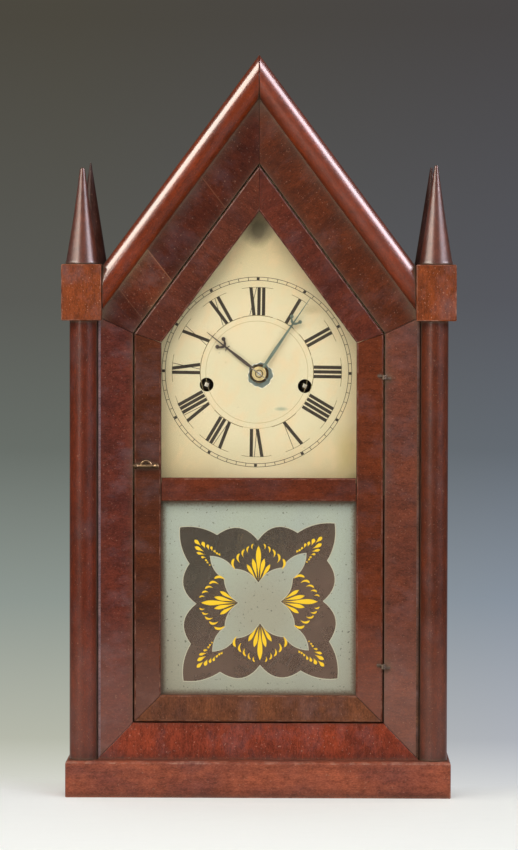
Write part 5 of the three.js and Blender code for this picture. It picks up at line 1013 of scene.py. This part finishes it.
def field_paint():
    material, tree, shader = new_material("tablet field paint")
    place = put(tree, "TexCoord").outputs["Object"]
    broad = noise(tree, place, (0.03, 0.03, 0.06), (0, 0, 0), 93.0, 3.0, 0.6)
    fine = noise(tree, place, (0.0015, 0.0015, 0.0015), (0, 0, 0), 94.0, 4.0, 0.7)
    spots = noise(tree, place, (0.0024, 0.0024, 0.0024), (0, 0, 0), 95.0, 1.0)
    parts = put(tree, "SeparateXYZ", {"Vector": place}).outputs
    aside = reckon(tree, "ABSOLUTE", parts["X"])
    above = reckon(tree, "ABSOLUTE", reckon(tree, "SUBTRACT", parts["Z"], OPENING_MIDDLE))
    past = [reckon(tree, "SUBTRACT", *pair) for pair in zip((aside, above), OPENING_HALF)]
    rim = reckon(tree, "MAXIMUM", *past)
    rim = reckon(tree, "ADD", rim, reckon(tree, "MULTIPLY", fine, 0.004))
    colour = blended(tree, between(tree, broad, 0.35, 0.65), level(171, 179, 163), level(167, 175, 164))
    off = put(tree, "VectorMath", {0: place, 1: (0.004, PAINT_BACK * MM, 0.126)}, operation="SUBTRACT")
    reach = put(tree, "VectorMath", {0: off.outputs[0]}, operation="LENGTH").outputs["Value"]
    colour = tinted(tree, reach, 0.05, 0.012, 0.85, colour, (160, 155, 134))
    colour = tinted(tree, parts["Z"], 0.12, 0.075, 0.6, colour, (156, 151, 130))
    lower = between(tree, parts["Z"], 0.17, 0.09)
    sideward = reckon(tree, "MULTIPLY", between(tree, aside, 0.045, 0.067), lower)
    colour = blended(tree, sideward, colour, level(162, 160, 144))
    leftward = between(tree, parts["X"], -0.03, -0.066, 0.0, 0.7)
    colour = blended(tree, reckon(tree, "MULTIPLY", leftward, lower), colour, level(150, 143, 121))
    colour = tinted(tree, fine, 0.5, 0.8, 0.35, colour, (128, 134, 118))
    colour = blended(tree, between(tree, rim, -0.0022, 0.0012), colour, level(116, 96, 76))
    colour = tinted(tree, spots, 0.68, 0.72, 0.8, colour, (84, 80, 66))
    rough = between(tree, fine, 0.3, 0.7, 0.45, 0.65)
    join_up(tree, shader, Base_Color=colour, Roughness=rough)
    return material


pale_line = ink("tablet pale line", (196, 190, 166), 96.0, 0.1)
layers = [[pane_edge, ornament], [cross]]
finished("tablet_pale_line", flat_mesh(layers, PAINT_BACK + LINE_BEHIND), "door", "tablet_glass", pale_line)
layers = [[pane_edge, grown(ornament, 0.55)], [grown(cross, -0.5)]]
finished("tablet_field", flat_mesh(layers, PAINT_BACK), "door", "tablet_glass", field_paint())


def wash():
    """A thin brown wash behind the see-through part, which still lets some light through."""
    material, tree, shader = new_material("tablet brown wash")
    place = put(tree, "TexCoord").outputs["Object"]
    patches = noise(tree, place, (0.02, 0.02, 0.02), (0, 0, 0), 99.0, 4.0, 0.65)
    parts = put(tree, "SeparateXYZ", {"Vector": place}).outputs
    # Lighter towards the lower right: painted light, for the lit inside of the case seen through the wash
    aslant = reckon(tree, "SUBTRACT", parts["Z"], reckon(tree, "MULTIPLY", parts["X"], 0.7))
    aslant = reckon(tree, "ADD", aslant, reckon(tree, "MULTIPLY", patches, 0.07))
    low_part = between(tree, aslant, 0.215, 0.15)
    colour = blended(tree, low_part, level(84, 74, 60), level(116, 90, 74))
    join_up(tree, shader, Base_Color=colour, Roughness=between(tree, patches, 0.3, 0.7, 0.5, 0.8))
    clear = put(tree, "BsdfTransparent")
    cover = between(tree, patches, 0.3, 0.7, 0.62, 0.82)
    both = put(tree, "MixShader", {0: cover, 1: clear.outputs[0], 2: shader.outputs[0]})
    tree.links.new(both.outputs[0], tree.nodes["Material Output"].inputs["Surface"])
    return material


wash_mesh = flat_mesh([[grown(ornament, 0.4)]], PAINT_BACK + WASH_BEHIND)
finished("tablet_wash", wash_mesh, "door", "tablet_glass", wash())

# Yellow leaves, in millimetres from the inner corner of the cross that each fan grows from, as
# (start, end, width), and the comma strokes round the fan as (start, middle, end, width)
FAN_LEAVES = (
    ((0, 1.6), (0, 25.6), 3.5),
    ((-0.7, 1.7), (-4.0, 16.6), 2.7),
    ((0.7, 1.7), (4.0, 16.6), 2.7),
    ((-1.5, 2.0), (-8.0, 12.6), 2.4),
    ((1.5, 2.0), (8.0, 12.6), 2.4),
)
FAN_COMMAS = (
    ((-14.2, 18.4), (-17.9, 14.2), (-16.0, 9.2), 1.7),
    ((-10.5, 21.4), (-14.3, 18.2), (-13.0, 13.8), 1.5),
    ((-7.5, 23.9), (-10.9, 21.4), (-10.4, 17.6), 1.3),
    ((-4.8, 25.8), (-7.6, 23.8), (-7.3, 20.7), 1.2),
    ((-2.2, 27.4), (-4.4, 25.8), (-4.2, 23.2), 1.0),
)
CORNER_LEAVES = (
    ((-6.8, 7.5), (-10.6, 11.0), 1.9),
    ((-3.6, 5.8), (-5.2, 9.8), 1.9),
    ((-0.9, 4.7), (-1.8, 7.9), 1.5),
    ((1.5, 3.8), (0.8, 6.6), 1.3),
    ((3.9, 2.2), (2.7, 4.0), 1.1),
    ((5.6, 1.0), (4.4, 2.4), 1.1),
    ((7.0, 0.2), (6.2, 1.7), 1.1),
    ((-4.9, 3.4), (-10.4, 6.3), 1.9),
    ((-4.3, 1.1), (-9.2, 2.2), 1.4),
    ((-3.3, -1.1), (-6.1, -0.8), 1.2),
    ((-1.9, -3.6), (-3.3, -2.5), 1.1),
    ((-1.0, -5.0), (-2.2, -4.2), 1.0),
    ((0.2, -6.6), (-0.5, -6.0), 0.9),
)
LEAF_POINTS = 12
LEAF_LEAN = 2.0
CORNER_WIDEN = 1.3
CORNER_LENGTHEN = 1.2
COMMA_HEAD = 0.24


def leaf(start, end, width):
    """A brush stroke that is pointed where it starts and round where it ends."""
    along = Vector(end) - Vector(start)
    outward = Vector((-along.y, along.x)).normalized()
    sides = [[], []]
    for k in range(LEAF_POINTS + 1):
        t = k / LEAF_POINTS
        half = width / 2 * math.sin(math.pi * t ** LEAF_LEAN) ** 0.9 if 0 < t < 1 else 0.03
        for edge, sign in zip(sides, (1, -1)):
            edge.append(tuple(Vector(start) + along * t + outward * half * sign))
    return sides[0] + sides[1][::-1]


def comma(start, middle, end, width):
    """A curved brush stroke through three points, widest near its middle."""
    sides = [[], []]
    for k in range(LEAF_POINTS + 1):
        t = COMMA_HEAD + (1 - COMMA_HEAD) * k / LEAF_POINTS
        bend = Vector(middle) * 2 - (Vector(start) + Vector(end)) / 2
        point = Vector(start) * (1 - t) ** 2 + bend * 2 * t * (1 - t) + Vector(end) * t ** 2
        ahead = (bend - Vector(start)) * (1 - t) + (Vector(end) - bend) * t
        outward = Vector((-ahead.y, ahead.x)).normalized()
        half = max(0.06, width / 2 * math.sin(math.pi * (k / LEAF_POINTS) ** 0.7) ** 0.8)
        for edge, sign in zip(sides, (1, -1)):
            edge.append(tuple(point + outward * half * sign))
    return sides[0] + sides[1][::-1]


def placed(outline, origin, turn=0.0, flip=(1, 1)):
    """An outline mirrored, turned clockwise by this many degrees and moved to its origin."""
    angle = math.radians(turn)
    moved = []
    for x, z in outline:
        x, z = x * flip[0], z * flip[1]
        moved.append((
            origin[0] + x * math.cos(angle) + z * math.sin(angle),
            origin[1] - x * math.sin(angle) + z * math.cos(angle),
        ))
    return moved


# A fan grows from each inner corner of the cross, and a spray from each outer one
MIRRORED = ((1, 1), (-1, 1), (-1, -1), (1, -1))
fan_places = [(CROSS_OUTLINE[4 * k + 2][0], 90 * k) for k in range(4)]
corner_places = [(CROSS_OUTLINE[4 * k][0], flip) for k, flip in enumerate(MIRRORED)]
layers = []
for origin, turn in fan_places:
    for start, end, width in FAN_LEAVES:
        layers.append([placed(leaf(start, end, width), origin, turn)])
    for points in FAN_COMMAS:
        for flip in ((1, 1), (-1, 1)):
            layers.append([placed(comma(*points), origin, turn, flip)])
for origin, flip in corner_places:
    for start, end, width in CORNER_LEAVES:
        start = Vector(end) + (Vector(start) - Vector(end)) * CORNER_LENGTHEN
        layers.append([placed(leaf(start, end, width * CORNER_WIDEN), origin, 0, flip)])
leaf_yellow = ink("tablet yellow", (252, 207, 6), 97.0, 0.0)
leaves_mesh = flat_mesh(layers, PAINT_BACK - LEAVES_BEFORE)
finished("tablet_leaves", leaves_mesh, "door", "tablet_glass", leaf_yellow)

# Room: a pale table that turns into a sweep behind the clock. The table is lit by a warm softbox on the
# left, a cooler one on the right, one from above and an even light from all round; the sweep behind glows
# by itself, with its fall of light painted in.
EYE = Vector((0.0303, -2.350, 0.3406))
EYE_PITCH = 2.125
EYE_YAW = 0.749
EYE_ROLL = 0.114
SWEEP_BACK = 4.8
SWEEP_ROUND = 0.4
SWEEP_STEPS = 8
SWEEP_TOP = 3.5
SWEEP_WIDE = 9.0
TABLE_FRONT = -4.0
# The table as the polish sees it, darker than it looks straight on: a painted reflection
POLISH_TABLE = (120, 118, 114)

# How the backdrop's painted light darkens upward, as (height over distance, tone), and the tints of its
# two sides, which are weaker where it meets the table
FALL_OFF = (
    (-0.148, (219, 220, 216)),
    (-0.1308, (178, 181, 178)),
    (-0.0892, (139, 148, 151)),
    (-0.0446, (102, 108, 109)),
    (0.0, (88, 89, 90)),
    (0.083, (74, 71, 67)),
)
LEFT_TINT = (1.045, 1.035, 0.9, 1)
RIGHT_TINT = (0.955, 0.966, 1.105, 1)
TINT_REACH = 0.07


def sweep_shader():
    material, tree, shader = new_material("table and backdrop")
    place = put(tree, "TexCoord").outputs["Object"]
    parts = put(tree, "SeparateXYZ", {"Vector": place}).outputs
    away = reckon(tree, "ADD", parts["Y"], -EYE.y)
    rise = reckon(tree, "DIVIDE", reckon(tree, "SUBTRACT", parts["Z"], EYE.z), away)
    aside = reckon(tree, "DIVIDE", reckon(tree, "SUBTRACT", parts["X"], EYE.x), away)
    lowest = FALL_OFF[0][0]
    highest = FALL_OFF[-1][0]
    ramp = put(tree, "ValToRGB", {"Fac": between(tree, rise, lowest, highest)})
    band = ramp.color_ramp.elements
    band.remove(band[1])
    band[0].color = level(*FALL_OFF[0][1])
    for height, tone in FALL_OFF[1:]:
        band.new((height - lowest) / (highest - lowest)).color = level(*tone)
    tint = blended(tree, between(tree, aside, -TINT_REACH, TINT_REACH), LEFT_TINT, RIGHT_TINT)
    tinged = between(tree, rise, lowest, FALL_OFF[1][0], 0.3, 1)
    grey = blended(tree, tinged, ramp.outputs["Color"], tint, "MULTIPLY")
    glow = put(tree, "Emission", {"Color": grey})
    sag = reckon(tree, "MULTIPLY", reckon(tree, "POWER", aside, 2.0), -0.5)
    edge = between(tree, reckon(tree, "ADD", rise, sag), -0.1505, -0.1460)
    grain = noise(tree, place, (0.02, 0.008, 0.02), (0, 0, 0), 98.0, 3.0)
    table = tinted(tree, grain, 0.55, 0.75, 0.3, level(252, 253, 249), (246, 247, 243))
    table = blended(tree, put(tree, "LightPath").outputs["Is Glossy Ray"], table, level(*POLISH_TABLE))
    rough = between(tree, grain, 0, 1, 0.5, 0.7)
    join_up(tree, shader, Base_Color=table, Roughness=rough, Specular_IOR_Level=0.1)
    both = put(tree, "MixShader", {0: edge, 1: shader.outputs[0], 2: glow.outputs[0]})
    tree.links.new(both.outputs[0], tree.nodes["Material Output"].inputs["Surface"])
    return material


sweep = bmesh.new()
turns = [math.pi / 2 * k / SWEEP_STEPS for k in range(SWEEP_STEPS + 1)]
start = SWEEP_BACK - SWEEP_ROUND
bend = [(start + SWEEP_ROUND * math.sin(t), SWEEP_ROUND * (1 - math.cos(t))) for t in turns]
profile = [(TABLE_FRONT, 0), *bend, (SWEEP_BACK, SWEEP_TOP)]
corners = [sweep.verts.new((-SWEEP_WIDE / 2, y, z)) for y, z in profile]
edges = [sweep.edges.new(pair) for pair in zip(corners, corners[1:])]
pulled = bmesh.ops.extrude_edge_only(sweep, edges=edges)
moved = [v for v in pulled["geom"] if isinstance(v, bmesh.types.BMVert)]
bmesh.ops.translate(sweep, vec=(SWEEP_WIDE, 0, 0), verts=moved)
bmesh.ops.recalc_face_normals(sweep, faces=sweep.faces)
sweep_mesh = bpy.data.meshes.new("table_and_backdrop")
sweep.to_mesh(sweep_mesh)
sweep.free()
sweep_mesh.materials.append(sweep_shader())
sweep_mesh.shade_smooth()
room = bpy.data.objects.new("table_and_backdrop", sweep_mesh)
bpy.context.scene.collection.objects.link(room)

# Softboxes as (name, azimuth, elevation, distance, width, height, watts, colour)
SOFTBOXES = (
    ("warm_softbox", -37, 27, 1.9, 1.7, 1.0, 13.0, (1.0, 0.95, 0.88)),
    ("cool_softbox", 42, 26, 1.9, 1.2, 1.0, 8.0, (0.84, 0.92, 1.0)),
    ("top_softbox", -4, 44, 2.3, 1.6, 0.8, 16.0, (1.0, 0.98, 0.95)),
)

# Panels that only the polish sees, as (name, azimuth, elevation, distance, width, height, shine, colour)
CARDS = (
    ("warm_card", -60, 38, 1.9, 1.4, 0.9, 19.0, (1.0, 0.97, 0.86)),
    ("steeple_card", -33, 11, 1.9, 0.4, 0.6, 15.0, (1.0, 0.97, 0.88)),
    ("cool_card", 72, 37, 1.9, 1.1, 0.9, 26.0, (0.92, 0.9, 1.0)),
    ("cool_strip", 43, 13, 1.9, 0.3, 0.6, 9.0, (0.9, 0.92, 1.0)),
    ("warm_low_card", -34, -1, 1.9, 0.5, 0.3, 1.6, (1.0, 0.9, 0.9)),
    ("cool_low_card", 62, -1, 1.9, 0.7, 0.3, 1.6, (0.8, 0.86, 1.0)),
)
target = Vector((0, -0.03, 0.26))


def facing(azimuth, elevation, distance):
    """The place of a panel that faces the clock from there."""
    a = math.radians(azimuth)
    e = math.radians(elevation)
    towards = Vector((math.sin(a) * math.cos(e), -math.cos(a) * math.cos(e), math.sin(e)))
    aim = towards.to_track_quat("Z", "Y").to_matrix().to_4x4()
    return Matrix.Translation(target + towards * distance) @ aim


for name, azimuth, elevation, distance, width, height, watts, colour in SOFTBOXES:
    lamp = bpy.data.lights.new(name, "AREA")
    lamp.shape = "RECTANGLE"
    lamp.size = width
    lamp.size_y = height
    lamp.energy = watts
    lamp.color = colour
    box = bpy.data.objects.new(name, lamp)
    box.matrix_world = facing(azimuth, elevation, distance)
    box.visible_camera = False
    box.visible_glossy = False
    bpy.context.scene.collection.objects.link(box)

for name, azimuth, elevation, distance, width, height, shine, colour in CARDS:
    card = bmesh.new()
    bmesh.ops.create_grid(card, x_segments=1, y_segments=1, size=0.5)
    size = Matrix.Diagonal((width, height, 1, 1))
    bmesh.ops.transform(card, matrix=facing(azimuth, elevation, distance) @ size, verts=card.verts)
    card_mesh = bpy.data.meshes.new(name)
    card.to_mesh(card_mesh)
    card.free()
    glow = bpy.data.materials.new(f"{name} cloth")
    glow.use_nodes = True
    glow.node_tree.nodes.clear()
    cloth = put(glow.node_tree, "Emission", {"Color": (*colour, 1), "Strength": shine})
    put(glow.node_tree, "OutputMaterial", {"Surface": cloth.outputs[0]})
    card_mesh.materials.append(glow)
    panel = bpy.data.objects.new(name, card_mesh)
    bpy.context.scene.collection.objects.link(panel)
    panel.visible_camera = False
    panel.visible_diffuse = False
    panel.visible_shadow = False
    panel.visible_transmission = False

# The room's even light: the polish sees a darker room than the rest does
ROOM_LIGHT = 0.55
ROOM_IN_POLISH = 0.06
world = bpy.data.worlds.new("room light")
world.use_nodes = True
sky = world.node_tree.nodes["Background"]
rays = put(world.node_tree, "LightPath").outputs["Is Glossy Ray"]
strength = between(world.node_tree, rays, 0.0, 1.0, ROOM_LIGHT, ROOM_IN_POLISH)
world.node_tree.links.new(strength, sky.inputs["Strength"])
sky.inputs["Color"].default_value = (0.97, 0.98, 1.0, 1)
bpy.context.scene.world = world

# Camera: a long lens from a little above the middle of the clock
EYE_LENS = 142.47
EYE_SENSOR = 36
eye = bpy.data.cameras.new("eye")
eye.lens = EYE_LENS
eye.sensor_width = EYE_SENSOR
camera = bpy.data.objects.new("eye", eye)
camera.matrix_world = (
    Matrix.Translation(EYE)
    @ Matrix.Rotation(math.radians(EYE_YAW), 4, "Z")
    @ Matrix.Rotation(math.radians(90 - EYE_PITCH), 4, "X")
    @ Matrix.Rotation(math.radians(EYE_ROLL), 4, "Z")
)
bpy.context.scene.collection.objects.link(camera)
bpy.context.scene.camera = camera
bpy.context.scene.view_settings.view_transform = "Standard"
